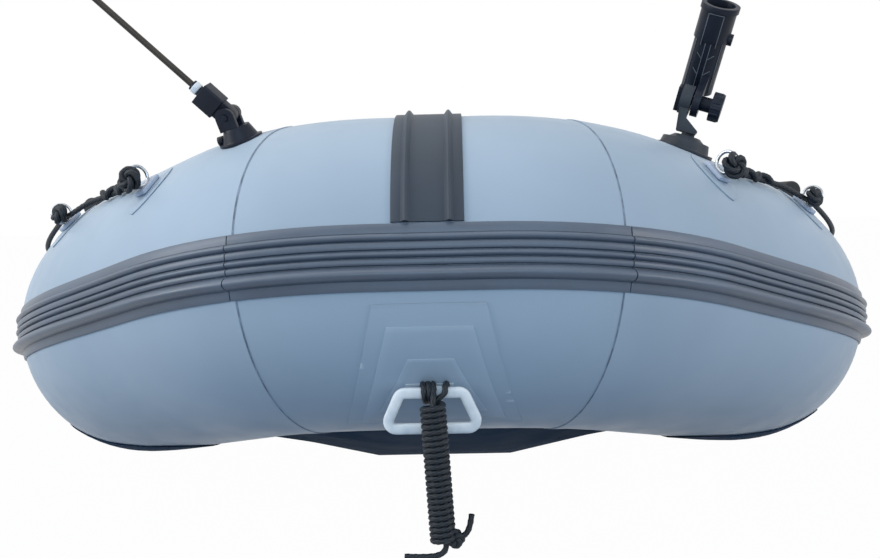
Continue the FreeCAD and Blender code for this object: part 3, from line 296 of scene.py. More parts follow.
def drawn_along(name, outline, start, end, step=0.03, bend_step=0.016):
    """An outline of (out, up) points, drawn along the tube's straight runs and spun through its bends."""
    runs = runs_between(start, end)
    obj = drawn_ring(name, len(outline))
    for vertex, (out, up) in zip(obj.data.vertices, outline):
        vertex.co = runs[0]["at"] + runs[0]["out"] * out + runs[0]["up"] * up
    open_all(obj)
    for run in runs:
        if "turn" in run:
            bpy.ops.mesh.spin(steps=max(1, round(run["length"] / bend_step)), angle=-run["turn"],
                              center=run["centre"], axis=run["axis"])
            continue
        parts = max(1, round(run["length"] / step))
        for _ in range(parts):
            extrude(run["ahead"] * (run["length"] / parts))
    close_edit()
    return obj


def apply_modifier(obj, kind, **settings):
    pick(obj)
    modifier = obj.modifiers.new(kind.lower(), kind)
    for key, value in settings.items():
        setattr(modifier, key, value)
    bpy.ops.object.modifier_apply(modifier=modifier.name)
    return obj


def bevel(obj, width, segments, degrees=40):
    apply_modifier(obj, "BEVEL", width=width, segments=segments, limit_method="ANGLE",
                   angle_limit=math.radians(degrees))


def close_and_smooth(obj, degrees=35, fill=True):
    """Fills open ends, turns the faces outwards and shades all but the sharp edges smooth."""
    open_all(obj)
    bpy.ops.mesh.remove_doubles(threshold=0.00001)
    if fill:
        bpy.ops.mesh.fill_holes(sides=0)
    bpy.ops.mesh.normals_make_consistent(inside=False)
    close_edit()
    bpy.ops.object.shade_smooth_by_angle(angle=math.radians(degrees))
    return obj


def with_other_half(obj):
    """The piece and its mirror image over the boat's middle, in one mesh."""
    return apply_modifier(obj, "MIRROR", use_axis=(True, False, False), use_mirror_merge=True,
                          merge_threshold=0.0001)


def mirror_mesh(obj):
    obj.data.transform(Matrix.Scale(-1, 4, Vector((1, 0, 0))))
    obj.data.flip_normals()
    return obj


def other_side(obj, name):
    """A copy of a port piece for the starboard side, with its own mesh."""
    twin = add_to_scene(obj.copy())
    twin.data = obj.data.copy()
    twin.name = twin.data.name = name
    return mirror_mesh(twin)


def dress(obj, material, slot, body="boat", *nodes):
    obj.data.materials.clear()
    obj.data.materials.append(material)
    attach(obj, body)
    if nodes:
        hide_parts(*nodes)


def dress_pair(port, material, slot, part=None):
    """Dresses a port piece and its twin on the starboard side, which stand for the part's two nodes."""
    starboard = other_side(port, port.name.replace("port", "starboard"))
    for piece, side in ((port, "_port"), (starboard, "_starboard")):
        nodes = [part + side] if part else []
        dress(piece, material, slot, "boat", *nodes)


def object_texture(material, kind, scale, stretch=None, **values):
    """A texture that lies in the piece's own coordinates, drawn out by stretch."""
    tree = material.node_tree
    texture = new_node(tree, "Tex" + kind, Scale=scale, **values)
    source = tree.nodes.new("ShaderNodeTexCoord").outputs["Object"]
    if stretch:
        mapping = new_node(tree, "Mapping", Scale=stretch)
        tree.links.new(source, mapping.inputs["Vector"])
        source = mapping.outputs["Vector"]
    tree.links.new(source, texture.inputs["Vector"])
    return texture.outputs["Distance" if kind == "Voronoi" else "Fac"]


def vary_colour(material, factor, colour, low, high):
    """The colour goes darker or paler with the factor: low and high are (factor, share of it)."""
    tree = material.node_tree
    ramp = tree.nodes.new("ShaderNodeValToRGB")
    for element, (position, share) in zip(ramp.color_ramp.elements, (low, high)):
        element.position = position
        element.color = (*[min(c * share, 1) for c in colour], 1)
    tree.links.new(factor, ramp.inputs["Fac"])
    tree.links.new(ramp.outputs["Color"], tree.nodes["Principled BSDF"].inputs["Base Color"])


def vary_gloss(material, factor, low, high):
    """The surface goes rougher with the factor: low and high are (factor, roughness)."""
    tree = material.node_tree
    gloss = new_node(tree, "MapRange", From_Min=low[0], From_Max=high[0], To_Min=low[1], To_Max=high[1])
    tree.links.new(factor, gloss.inputs["Value"])
    tree.links.new(gloss.outputs["Result"], tree.nodes["Principled BSDF"].inputs["Roughness"])


def add_bump(material, height, strength, distance):
    """Adds a bump to those that the material has."""
    tree = material.node_tree
    normal = tree.nodes["Principled BSDF"].inputs["Normal"]
    bump = new_node(tree, "Bump", Strength=strength, Distance=distance)
    tree.links.new(height, bump.inputs["Height"])
    for link in normal.links:
        tree.links.new(link.from_socket, bump.inputs["Normal"])
    tree.links.new(bump.outputs["Normal"], normal)
    return bump


def coated_fabric(name, colour, roughness):
    """Coated fabric: a faint weave, soft hollows between the air's pull, scuffs and paler rubbed spots."""
    material = plain_material(name, colour, roughness, Specular_IOR_Level=0.12)
    cloud = object_texture(material, "Noise", 3.2, Detail=5.0)
    vary_colour(material, cloud, colour, (0.32, 0.93), (0.70, 1.05))
    scuffs = object_texture(material, "Noise", 26.0, Detail=8.0, Roughness=0.65)
    vary_gloss(material, scuffs, (0.35, roughness - 0.05), (0.75, roughness + 0.13))
    weave = object_texture(material, "Noise", 900.0, Detail=2.0)
    add_bump(material, weave, 0.10, 0.0004)
    swell = object_texture(material, "Noise", 5.5, Detail=2.0)
    add_bump(material, swell, 0.20, 0.012)
    return material


TUBE_COLOUR = (0.37, 0.45, 0.54)
TUBE_FABRIC = coated_fabric("tube_fabric", TUBE_COLOUR, 0.42)
PANEL_JOINT_S = RUNS[1]["s"] + RUNS[1]["length"] / 2
REAR = RUNS[-1]
TUBE_END_S = REAR["s"] + REAR["length"]
LAP_L = 0.024
LAP_T = 0.0011
LAP_EDGE_T = 0.0002
LAP_FORE = 0.003
SEAM_W = 0.0010
SEAM_T = 0.0004
SLEEVE_STEP = 0.005
ROUND = [(TUBE_R * math.cos(math.tau * k / TUBE_SIDES), TUBE_R * math.sin(math.tau * k / TUBE_SIDES))
         for k in range(TUBE_SIDES)]


def rubbed_line(name, colour):
    """Old glue along a seam: dark, dull and a little uneven."""
    material = plain_material(name, colour, 0.6)
    patches = object_texture(material, "Noise", 70.0, Detail=4.0)
    vary_colour(material, patches, colour, (0.35, 0.7), (0.70, 1.7))
    return material


def sleeve(name, start, end, heights, thickness):
    """A thin sleeve round the tube, whose height goes from the first value to the last."""
    made = drawn_along(name, ROUND, start, end, SLEEVE_STEP, SLEEVE_STEP)
    first = section_at(start)
    for vertex in made.data.vertices:
        share = (vertex.co - first["at"]).dot(first["ahead"]) / (end - start)
        share = min(max(share, 0), 1)
        section = section_at(start + (end - start) * share)
        out = (vertex.co - section["at"]).normalized()
        vertex.co += out * (heights[0] + (heights[1] - heights[0]) * share)
    apply_modifier(made, "SOLIDIFY", thickness=thickness, offset=-1.0)
    return close_and_smooth(made, 30, fill=False)


SEAM_GLUE = rubbed_line("seam_glue", (0.17, 0.21, 0.27))


def make_tubes():
    middle = drawn_along("bow_panel_center_skin", ROUND, 0, PANEL_JOINT_S)
    close_and_smooth(with_other_half(middle))
    dress(middle, TUBE_FABRIC, "tube_fabric", "boat", "bow_panel_center")
    for part, start, end in (("bow_panel", PANEL_JOINT_S, REAR["s"]), ("side_tube", REAR["s"], TUBE_END_S)):
        port = drawn_along(part + "_port_skin", ROUND, start, end)
        dress_pair(close_and_smooth(port), TUBE_FABRIC, "tube_fabric", part)
    for part, s in (("bow", PANEL_JOINT_S - LAP_FORE), ("shoulder", REAR["s"]), ("cone", TUBE_END_S - LAP_L)):
        lap = sleeve(part + "_lap_port", s, s + LAP_L, (LAP_T, LAP_EDGE_T), LAP_T)
        glue = sleeve(part + "_seam_port", s - SEAM_W, s, (SEAM_T, SEAM_T), SEAM_T)
        dress_pair(lap, TUBE_FABRIC, "tube_fabric")
        dress_pair(glue, SEAM_GLUE, "tube_fabric")


make_tubes()


# Stern cones
# Each side tube ends behind the transom in a long cone of the same fabric.
# Its tip is closed by a moulded black end cap, glued on and rounded off.

CONE_RIM = 0.02
CAP_SIDES = 64
CAP_EDGE = 0.0012
CAP_STEPS = ((0.003, 1.0), (0.006, 1.0), (0.007, 0.965), (0.006, 0.93), (0.005, 0.80), (0.0028, 0.5))
BLACK_PLASTIC_COLOUR = (0.028, 0.031, 0.037)


def moulded_plastic(name, colour, roughness, grain=420.0):
    """Moulded plastic: a fine spark-eroded grain, with handling marks that change its gloss."""
    material = plain_material(name, colour, roughness, Specular_IOR_Level=0.20)
    marks = object_texture(material, "Noise", 38.0, Detail=7.0)
    vary_gloss(material, marks, (0.3, roughness - 0.06), (0.7, roughness + 0.10))
    vary_colour(material, marks, colour, (0.35, 0.82), (0.75, 1.25))
    add_bump(material, object_texture(material, "Voronoi", grain), 0.18, 0.0004)
    return material


BLACK_PLASTIC = moulded_plastic("black_moulded_plastic", BLACK_PLASTIC_COLOUR, 0.42)


def make_cones():
    bpy.ops.mesh.primitive_cone_add(
        vertices=TUBE_SIDES, radius1=TUBE_R, radius2=CONE_TIP_R, depth=CONE_L,
        location=(SIDE_X, CONE_Y + CONE_L / 2, TUBE_Z), rotation=(-math.pi / 2, 0, 0))
    cone = settle("stern_cone_port_skin")
    for cut_y in (CONE_Y + CONE_RIM, CONE_Y + CONE_L - CONE_RIM):
        open_all(cone)
        bpy.ops.mesh.bisect(plane_co=(0, cut_y, 0), plane_no=(0, 1, 0))
        close_edit()
    dress_pair(close_and_smooth(cone), TUBE_FABRIC, "tube_fabric", "stern_cone")

    cap = drawn_ring("cone_cap_port_moulding", CAP_SIDES, CONE_TIP_R, rotation=(math.pi / 2, 0, 0),
                     location=(SIDE_X, CONE_Y + CONE_L, TUBE_Z))
    open_all(cap)
    for forward, share in CAP_STEPS:
        extrude((0, forward, 0))
        bpy.ops.transform.resize(value=(share, 1, share), center_override=(SIDE_X, 0, TUBE_Z))
    bpy.ops.mesh.select_all(action="SELECT")
    bpy.ops.mesh.fill_holes(sides=0)
    close_edit()
    bevel(cap, CAP_EDGE, 2, 30)
    dress_pair(close_and_smooth(cap), BLACK_PLASTIC, "cap_plastic", "cone_cap")


make_cones()


# Rubbing strake
# A dark extruded rubber strip is glued all round the outside of the tubes. It has a flat flange,
# two narrow ribs with a flat band below each, one large bead that takes the knocks, and a thin
# lower flange.

SEAT = 0.0003
STRAKE_W = 0.075
STRAKE_TOP_DEG = 19.5
STRAKE_BASE_T = 0.0025
STRAKE_JOINT = 0.0008
STRAKE_UPPER_EDGE = ((0, -0.0006), (0.0008, 0), (0.0075, 0.0003))
STRAKE_LOWER_EDGE = ((0.0695, 0), (STRAKE_W - 0.0008, 0), (STRAKE_W, -0.0006))
STRAKE_BUMPS = (
    (0.0112, 0.0116, -0.0012, 1.0), (0.0118, 0.0206, 0.0058, 0.62), (0.0210, 0.0304, 0.0040, 0.28),
    (0.0308, 0.0388, 0.0058, 0.62), (0.0392, 0.0472, 0.0040, 0.28), (0.0478, 0.0638, 0.0130, 0.62))
BUMP_STEPS = 8
BACK_STEPS = 6


def strake_outline():
    top = math.radians(STRAKE_TOP_DEG)
    base = TUBE_R + SEAT + STRAKE_BASE_T

    def place(t, radius):
        angle = top - t / TUBE_R
        return radius * math.cos(angle), radius * math.sin(angle)

    points = [place(0, TUBE_R)]
    points += [place(t, base + rise) for t, rise in STRAKE_UPPER_EDGE]
    for low, high, height, fullness in STRAKE_BUMPS:
        for k in range(BUMP_STEPS + 1):
            share = k / BUMP_STEPS
            rise = max(math.sin(math.pi * share), 0) ** fullness
            points.append(place(low + (high - low) * share, base + height * rise))
    points += [place(t, base + rise) for t, rise in STRAKE_LOWER_EDGE]
    points += [place(STRAKE_W * (1 - k / BACK_STEPS), TUBE_R) for k in range(BACK_STEPS)]
    return points


def rubber(name, colour, roughness, shine):
    """Rubber or coated fabric: dull, with dusty patches, and paler where it has been scraped."""
    material = plain_material(name, colour, roughness, Specular_IOR_Level=shine)
    dust = object_texture(material, "Noise", 11.0, Detail=9.0, Roughness=0.62)
    vary_colour(material, dust, colour, (0.30, 0.86), (0.78, 1.22))
    vary_gloss(material, dust, (0.3, roughness - 0.05), (0.75, roughness + 0.14))
    add_bump(material, object_texture(material, "Noise", 520.0), 0.16, 0.0005)
    return material


STRAKE_COLOUR = (0.088, 0.114, 0.156)
PAD_COLOUR = (0.048, 0.060, 0.078)
STRAKE_RUBBER = rubber("strake_rubber", STRAKE_COLOUR, 0.38, 0.48)


def make_strake():
    outline = strake_outline()
    bow = drawn_along("strake_bow_strip", outline, 0, PANEL_JOINT_S - STRAKE_JOINT / 2)
    close_and_smooth(with_other_half(bow), 40)
    dress(bow, STRAKE_RUBBER, "strake_rubber", "boat", "strake_bow")
    port = drawn_along("strake_port_strip", outline, PANEL_JOINT_S + STRAKE_JOINT / 2, TUBE_END_S)
    dress_pair(close_and_smooth(port, 40), STRAKE_RUBBER, "strake_rubber", "strake")


make_strake()


# Chafe pad
# A wide strip of the same rubber lies over the bow tube, square to the strake. Two ribs on it
# guide the anchor line, and keep it off the fabric.

PAD_HALF_W = 0.041
PAD_T = 0.003
PAD_EDGE = (0.0009, 0.0008)
PAD_RIB_X = 0.0245
PAD_RIB_HALF = 0.0052
PAD_RIB_H = 0.0055
PAD_RIB_FULLNESS = 1.25
PAD_START_DEG = 19.9
PAD_END_DEG = 104.0
PAD_STEPS = 44


def make_chafe_pad():
    skin = TUBE_R + SEAT + PAD_T
    edge_w, edge_h = PAD_EDGE
    profile = [(-PAD_HALF_W, TUBE_R), (-PAD_HALF_W, skin - edge_h), (-PAD_HALF_W + edge_w, skin)]
    for side in (-1, 1):
        for k in range(BUMP_STEPS + 1):
            share = k / BUMP_STEPS
            rise = math.sin(math.pi * share) ** PAD_RIB_FULLNESS
            profile.append((side * PAD_RIB_X + PAD_RIB_HALF * (2 * share - 1), skin + PAD_RIB_H * rise))
    profile += [(PAD_HALF_W - edge_w, skin), (PAD_HALF_W, skin - edge_h), (PAD_HALF_W, TUBE_R)]
    start = math.radians(PAD_START_DEG)
    pad = drawn_ring("bow_chafe_pad_strip", len(profile))
    for vertex, (x, radius) in zip(pad.data.vertices, profile):
        vertex.co = round_bow(x, radius, start)
    open_all(pad)
    bpy.ops.mesh.spin(steps=PAD_STEPS, angle=math.radians(PAD_END_DEG - PAD_START_DEG),
                      center=round_bow(0, 0, 0), axis=(1, 0, 0))
    close_edit()
    close_and_smooth(pad, 42)
    dress(pad, rubber("pad_rubber", PAD_COLOUR, 0.50, 0.22), "strake_rubber", "boat", "bow_chafe_pad")


make_chafe_pad()


# Black bottom
# The bottom is soft black fabric with a flat pad under the keel, glued to a black skin that
# covers the underside of the tubes. It is not a rigid hull.

BOTTOM_COLOUR = (0.020, 0.046, 0.090)
BOTTOM_RUBBER = rubber("black_bottom_fabric", BOTTOM_COLOUR, 0.70, 0.018)


def finish(node, ending, material, slot, body="boat", soften=0.0, degrees=35):
    """Dresses the part's own shape as one clean mesh, with its long edges rounded a little."""
    obj = add_to_scene(frame["nodes"][node].copy())
    obj.data = obj.data.copy()
    for key in list(obj.keys()):
        del obj[key]
    obj.parent = None
    obj.name = obj.data.name = node + ending
    open_all(obj)
    bpy.ops.mesh.remove_doubles(threshold=0.00002)
    bpy.ops.mesh.dissolve_limited(angle_limit=math.radians(0.6))
    close_edit()
    if soften:
        bevel(obj, soften, 3, degrees)
        apply_modifier(obj, "TRIANGULATE")
    bpy.ops.object.shade_smooth_by_angle(angle=math.radians(degrees))
    dress(obj, material, slot, body, node)


def make_bottom():
    for node in ("hull_bottom", "bottom_wrap_port", "bottom_wrap_starboard"):
        finish(node, "_skin", BOTTOM_RUBBER, "bottom_fabric", degrees=30)


make_bottom()


# Bow handle
# A ring of white moulded plastic hangs from a patch of tube fabric low on the bow. The towing
# line and the painter go round its upper bar, which a clear strap holds to the patch.

HANDLE_STAND = 0.0162
HANDLE_DEG = -35.2
HANDLE_HALF_TOP = 0.040
HANDLE_HALF_BASE = 0.064
HANDLE_H = 0.053
HANDLE_BAR = 0.0125
HANDLE_T = 0.010
HANDLE_CORNER = 0.015
HANDLE_SQUARE = 0.62
PATCH_T = 0.0012
BAR_AT = round_bow(0, TUBE_R + HANDLE_STAND, math.radians(HANDLE_DEG))
WHITE_PLASTIC = moulded_plastic("white_moulded_plastic", (0.82, 0.88, 0.94), 0.30, 900.0)


def rounded_corners(corners, radius, steps):
    """Points round a polygon whose corners are arcs, going the same way as the corners."""
    points = []
    for last, here, following in zip(corners[-1:] + corners, corners, corners[1:] + corners[:1]):
        before, after = (last - here).normalized(), (following - here).normalized()
        half = before.angle(after) / 2
        reach = radius / math.tan(half)
        middle = here + (before + after).normalized() * (radius / math.sin(half))
        start, end = here + before * reach - middle, here + after * reach - middle
        points += [middle + start.slerp(end, n / steps) * radius for n in range(steps + 1)]
    return points


def make_handle():
    middle = HANDLE_BAR / 2
    lean = math.atan2(HANDLE_H, HANDLE_HALF_BASE - HANDLE_HALF_TOP)
    top_x = HANDLE_HALF_TOP - middle * math.tan(lean / 2)
    base_x = HANDLE_HALF_BASE - middle / math.tan(lean / 2)
    high, low = BAR_AT.z, BAR_AT.z + HANDLE_BAR - HANDLE_H
    corners = [Vector((x, BAR_AT.y, z)) for x, z in
               ((-top_x, high), (top_x, high), (base_x, low), (-base_x, low))]
    route = rounded_corners(corners, HANDLE_CORNER - middle, 7)
    sides = 20

    def squared(value):
        return math.copysign(abs(value) ** HANDLE_SQUARE, value)

    bpy.ops.mesh.primitive_torus_add(major_segments=len(route), minor_segments=sides,
                                     major_radius=HANDLE_HALF_BASE, minor_radius=middle)
    ring = settle("bow_handle_ring")
    centre = sum(route, Vector()) / len(route)
    for k, spot in enumerate(route):
        ahead = (route[(k + 1) % len(route)] - route[k - 1]).normalized()
        outward = ahead.cross(Vector((0, 1, 0)))
        if outward.dot(spot - centre) < 0:
            outward = -outward
        for n in range(sides):
            angle = math.tau * n / sides
            wide, deep = squared(math.cos(angle)) * middle, squared(math.sin(angle)) * HANDLE_T / 2
            ring.data.vertices[k * sides + n].co = spot + outward * wide + Vector((0, 1, 0)) * deep
    close_and_smooth(ring, 60, fill=False)
    dress(ring, WHITE_PLASTIC, "white_plastic", "boat", "bow_handle")


make_handle()


# Handle patch and strap
# The handle's patch is two more layers of tube fabric, each smaller than the one below it.
# The strap is a soft clear band that is welded to the top layer and goes round the bar.

PATCH_LAYERS = (((-13.5, 0.048), (-56.0, 0.086)), ((-24.8, 0.026), (-50.0, 0.064)))
LAYER_T = 0.0009
STRAP_BASE = ((-38.5, -0.030, 0.025), (-34.4, -0.030, 0.025))
STRAP_FLAP_T = 0.0022
SHEET_EDGE = 0.4


def skin_sheet(name, rows, radius, thickness):
    """A thin sheet on the bow tube between two rows, each given as (degrees, left x, right x)."""
    bpy.ops.mesh.primitive_grid_add(x_subdivisions=8, y_subdivisions=20)
    sheet = settle(name)
    for vertex in sheet.data.vertices:
        degrees, left, right = Vector(rows[0]).lerp(Vector(rows[1]), (vertex.co.y + 1) / 2)
        x = left + (right - left) * (vertex.co.x + 1) / 2
        vertex.co = round_bow(x, radius, math.radians(degrees))
    apply_modifier(sheet, "SOLIDIFY", thickness=thickness, offset=1.0)
    bevel(sheet, thickness * SHEET_EDGE, 2)
    return close_and_smooth(sheet, 40, fill=False)


def clear_plastic(name, colour):
    material = plain_material(name, colour, 0.28, Alpha=0.62)
    haze = object_texture(material, "Noise", 140.0, Detail=6.0)
    vary_gloss(material, haze, (0.0, 0.18), (1.0, 0.46))
    return material


def make_handle_patch():
    finish("bow_handle_patch", "_layer", TUBE_FABRIC, "tube_fabric", degrees=30)
    radius = TUBE_R + SEAT + PATCH_T
    for k, ((high, half_high), (low, half_low)) in enumerate(PATCH_LAYERS):
        rows = ((low, -half_low, half_low), (high, -half_high, half_high))
        layer = skin_sheet(f"bow_handle_patch_layer_{k + 2}", rows, radius + k * LAYER_T, LAYER_T)
        dress(layer, TUBE_FABRIC, "tube_fabric")
    clear = clear_plastic("clear_soft_plastic", (0.62, 0.70, 0.78))
    finish("handle_strap", "_band", clear, "clear_strap", soften=0.0004, degrees=30)
    flap = skin_sheet("handle_strap_flap", STRAP_BASE, radius + 2 * LAYER_T, STRAP_FLAP_T)
    dress(flap, clear, "clear_strap")


make_handle_patch()


# Ropes
# The painter and both grab lines are soft black braid. The painter is 7 mm: one end goes round
# the handle's bar and hangs down, and the other goes over the bar and is then wound down over the
# first as a neat hank. A grab line is 8 mm and runs through the rings on each side.

PAINTER_D = 0.007
GRAB_D = 0.008
BRAID_PITCH = 0.0085
BRAID_SIDES = 24
BRAID_RINGS = 6
BRAID_DEPTH = 0.20
STRANDS = 3
CROWN_ROUND = 0.5
CROWN_FADE = 1.6
HITCH_R = 0.01065
HANK_TOP = BAR_AT + Vector((0.001, -0.0233, -0.0025))
HANK_LOW = BAR_AT + Vector((0.010, -0.0228, -0.1695))
HANK_TURNS = 24
HANK_INSET = 0.0065
FIRST_ON_BAR = (-0.0125, 0.0155 / 2.7, 2.7)
SECOND_ON_BAR = (0.0195, -0.006, 0.75)
FIRST_IN_HANK = (0.04, 0.3, 0.6, 0.9)
END_KNOT_SHIFT = Vector((0.004, 0, 0))
END_KNOT_SIZE = 0.0050
KNOT_POINTS = 60
KNOT_SWAY = 0.65
SPARE_TURNS = ((0.014, 0.060, 3.0), (0.060, 0.150, 2.0))
SPARE_R = 0.0072
SPARE_OUT = (0.60, -0.35, 0.72)
SECOND_RING_AT = 0.238
HANK_TURN_R = 0.0120
TURN_POINTS = 12
LINE_ROUTE = [
    (0.382, -1.303, 0.494), (0.393, -1.277, 0.488), (0.411, -1.245, 0.483), (0.433, -1.217, 0.479),
    (0.457, -1.192, 0.474), (0.491, -1.170, 0.467), (0.525, -1.156, 0.449), (0.553, -1.113, 0.443),
    (0.614, -1.032, 0.404), (0.652, -0.913, 0.382), (0.672, -0.809, 0.360), (0.677, -0.712, 0.355),
    (0.684, -0.617, 0.353), (0.669, -0.537, 0.368), (0.668, -0.507, 0.368), (0.685, -0.440, 0.350),
    (0.687, -0.356, 0.343), (0.690, -0.273, 0.341), (0.686, -0.190, 0.344), (0.685, -0.106, 0.348),
    (0.668, -0.037, 0.368), (0.668, -0.007, 0.368), (0.685, 0.060, 0.348), (0.686, 0.144, 0.344),
    (0.690, 0.227, 0.341), (0.687, 0.310, 0.343), (0.685, 0.394, 0.349), (0.668, 0.463, 0.368),
    (0.668, 0.493, 0.368), (0.685, 0.560, 0.348), (0.686, 0.644, 0.344), (0.690, 0.727, 0.341),
    (0.687, 0.810, 0.343), (0.685, 0.894, 0.349), (0.668, 0.963, 0.368), (0.665, 1.002, 0.370),
]
PAINTER_TAIL = [(0.014, -1.498, 0.070), (0.010, -1.499, 0.059), (-0.008, -1.501, 0.056),
                (-0.034, -1.502, 0.058)]
PAINTER_END = [(0.019, -1.498, 0.076), (0.032, -1.499, 0.078), (0.040, -1.500, 0.088),
               (0.042, -1.500, 0.104)]


def woven_rope(name, colour):
    """Soft braid: dull fibre, with painted highlight on the crowns of its strands and painted shade between
    them.
    """
    material = plain_material(name, colour, 0.55, Specular_IOR_Level=0.3)
    tree = material.node_tree
    crown = tree.nodes.new("ShaderNodeAttribute")
    crown.attribute_name = "crown"
    fibre = object_texture(material, "Noise", 620.0, Detail=3.0)
    # The crown value paints highlight on the strands' crowns and shade between them, over the fibre's own
    # texture.
    rise = calculate(tree, "MULTIPLY", crown.outputs["Fac"], 0.80)
    fibre_and_painted_light = calculate(tree, "MULTIPLY_ADD", fibre, 0.35, rise)
    vary_colour(material, fibre_and_painted_light, colour, (0.35, 0.25), (1.0, 3.4))
    add_bump(material, fibre, 0.35, 0.0004)
    return material


BLACK_ROPE = woven_rope("black_rope_braid", (0.0075, 0.0115, 0.0170))


def rope_line(name, points):
    """The rope's smooth line through its route, and the points read from it."""
    data = bpy.data.curves.new(name, "CURVE")
    data.dimensions = "3D"
    data.resolution_u = 6
    spline = data.splines.new("NURBS")
    spline.points.add(len(points) - 1)
    for spot, place in zip(spline.points, points):
        spot.co = (*place, 1)
    spline.order_u = 3
    spline.use_endpoint_u = True
    line = add_to_scene(bpy.data.objects.new(name, data))
    drawn = bpy.data.meshes.new_from_object(line)
    path = [vertex.co.copy() for vertex in drawn.vertices]
    bpy.data.meshes.remove(drawn)
    return line, path


def path_length(path):
    return sum((b - a).length for a, b in zip(path, path[1:]))


def braid(name, points, radius):
    """One pitch of braid, repeated along the route, and the points it follows."""
    line, path = rope_line(name + "_line", points)
    length = path_length(path)
    count = max(1, round(length / BRAID_PITCH))
    pitch = length / count
    rope = drawn_ring(name, BRAID_SIDES, radius, rotation=(0, math.pi / 2, 0))
    open_all(rope)
    for _ in range(BRAID_RINGS):
        extrude((pitch / BRAID_RINGS, 0, 0))
    close_edit()
    # Each point keeps its crown value, which the rope material uses for painted highlight on the crowns and
    # painted shade between the strands.
    painted_crown_light = rope.data.attributes.new("crown", "FLOAT", "POINT")
    for vertex in rope.data.vertices:
        around = STRANDS * math.atan2(vertex.co.z, vertex.co.y)
        along = math.pi * vertex.co.x / pitch
        crown = abs(math.sin(around + along) * math.sin(around - along)) ** CROWN_ROUND
        painted_crown_light.data[vertex.index].value = crown ** CROWN_FADE
        share = 1 - BRAID_DEPTH * (1 - crown)
        vertex.co = (vertex.co.x, vertex.co.y * share, vertex.co.z * share)
    apply_modifier(rope, "ARRAY", fit_type="FIXED_COUNT", count=count, use_relative_offset=False,
                   use_constant_offset=True, constant_offset_displace=(pitch, 0, 0),
                   use_merge_vertices=True, merge_threshold=0.00002)
    apply_modifier(rope, "CURVE", object=line, deform_axis="POS_X")
    pick(line)
    bpy.ops.object.delete()
    close_and_smooth(rope, 60)
    return rope, path


def hank_spot(turns):
    """A place on the hank's turns, which go down from its top round its own line."""
    down = (HANK_LOW - HANK_TOP).normalized()
    wide = (Vector((1, 0, 0)) - down * down.x).normalized()
    deep = down.cross(wide)
    angle = math.tau * (turns - 0.25)
    start, end = HANK_TOP + down * HANK_INSET, HANK_LOW - down * HANK_INSET
    middle = start.lerp(end, turns / HANK_TURNS)
    return middle + wide * math.cos(angle) * HANK_TURN_R + deep * math.sin(angle) * HANK_TURN_R


def bar_turns(start_x, per_turn, turns):
    """Turns round the handle's bar: from its back, over it to the front and on, moving along it."""
    spots = []
    for k in range(TURN_POINTS // 4, round(turns * TURN_POINTS) + 1):
        angle = math.tau * k / TURN_POINTS - math.pi / 2
        along = start_x + per_turn * k / TURN_POINTS
        spots.append(BAR_AT + Vector((along, HITCH_R * math.cos(angle), HITCH_R * math.sin(angle))))
    return spots


def knot(name, at, facing, size, radius=GRAB_D / 2):
    """A knot drawn up tight: three turns of rope that pass through each other four times."""
    turn = facing.to_track_quat("Z", "Y").to_matrix()
    points = []
    for k in range(KNOT_POINTS + 2):
        t = math.tau * k / KNOT_POINTS
        reach = 1 + KNOT_SWAY * math.cos(4 * t)
        flat = Vector((reach * math.cos(3 * t), reach * math.sin(3 * t), KNOT_SWAY * math.sin(4 * t)))
        points.append(at + turn @ flat * size)
    made, _ = braid(name, points, radius)
    return made


def make_painter():
    first = bar_turns(*FIRST_ON_BAR)
    first += [HANK_TOP.lerp(HANK_LOW, share) for share in FIRST_IN_HANK]
    first += [Vector(spot) for spot in PAINTER_TAIL]
    tail, tail_path = braid("painter_first_end", first, PAINTER_D / 2)
    dress(tail, BLACK_ROPE, "black_rope", "boat", "painter_hitch")

    second = bar_turns(*SECOND_ON_BAR)
    second += [hank_spot(k / TURN_POINTS) for k in range(HANK_TURNS * TURN_POINTS + 1)]
    second += [Vector(spot) for spot in PAINTER_END]
    hank, hank_path = braid("painter_hank_turns", second, PAINTER_D / 2)
    dress(hank, BLACK_ROPE, "black_rope", "boat", "painter_hank", "painter_ends")
    end_knot = knot("painter_end_knot", Vector(PAINTER_END[0]) + END_KNOT_SHIFT,
                    Vector((0, -1, 0)), END_KNOT_SIZE, PAINTER_D / 2)
    dress(end_knot, BLACK_ROPE, "black_rope")


def spot_along(path, distance):
    """The point at a distance along the rope, and the way the rope goes there."""
    for a, b in zip(path, path[1:]):
        step = (b - a).length
        if distance <= step:
            return a.lerp(b, distance / step), (b - a).normalized()
        distance -= step
    return path[-1], (path[-1] - path[-2]).normalized()


def spare_end(name, path, sign):
    """The line's own end, wound round it behind the knot, then laid beside it to the next ring."""
    points = []
    facing = Vector((sign * SPARE_OUT[0], SPARE_OUT[1], SPARE_OUT[2])).normalized()
    for start, end, turns in SPARE_TURNS:
        steps = round(turns * TURN_POINTS)
        for k in range(steps):
            at, ahead = spot_along(path, start + (end - start) * k / steps)
            out = (facing - ahead * facing.dot(ahead)).normalized()
            side = ahead.cross(out)
            angle = math.tau * k / TURN_POINTS
            points.append(at + side * SPARE_R * math.cos(angle) + out * SPARE_R * abs(math.sin(angle)))
    made, _ = braid(name, points, GRAB_D / 2)
    return made


LINE_KNOTS = (("fore", (0.002, -0.016, -0.003), (0.5, -1, 0.2), 0.0088),
              ("ring", (0.006, -0.014, 0.004), (1, -1, 0.4), 0.0072),
              ("aft", (0, 0, 0), (1, 0, 0.4), 0.0062))


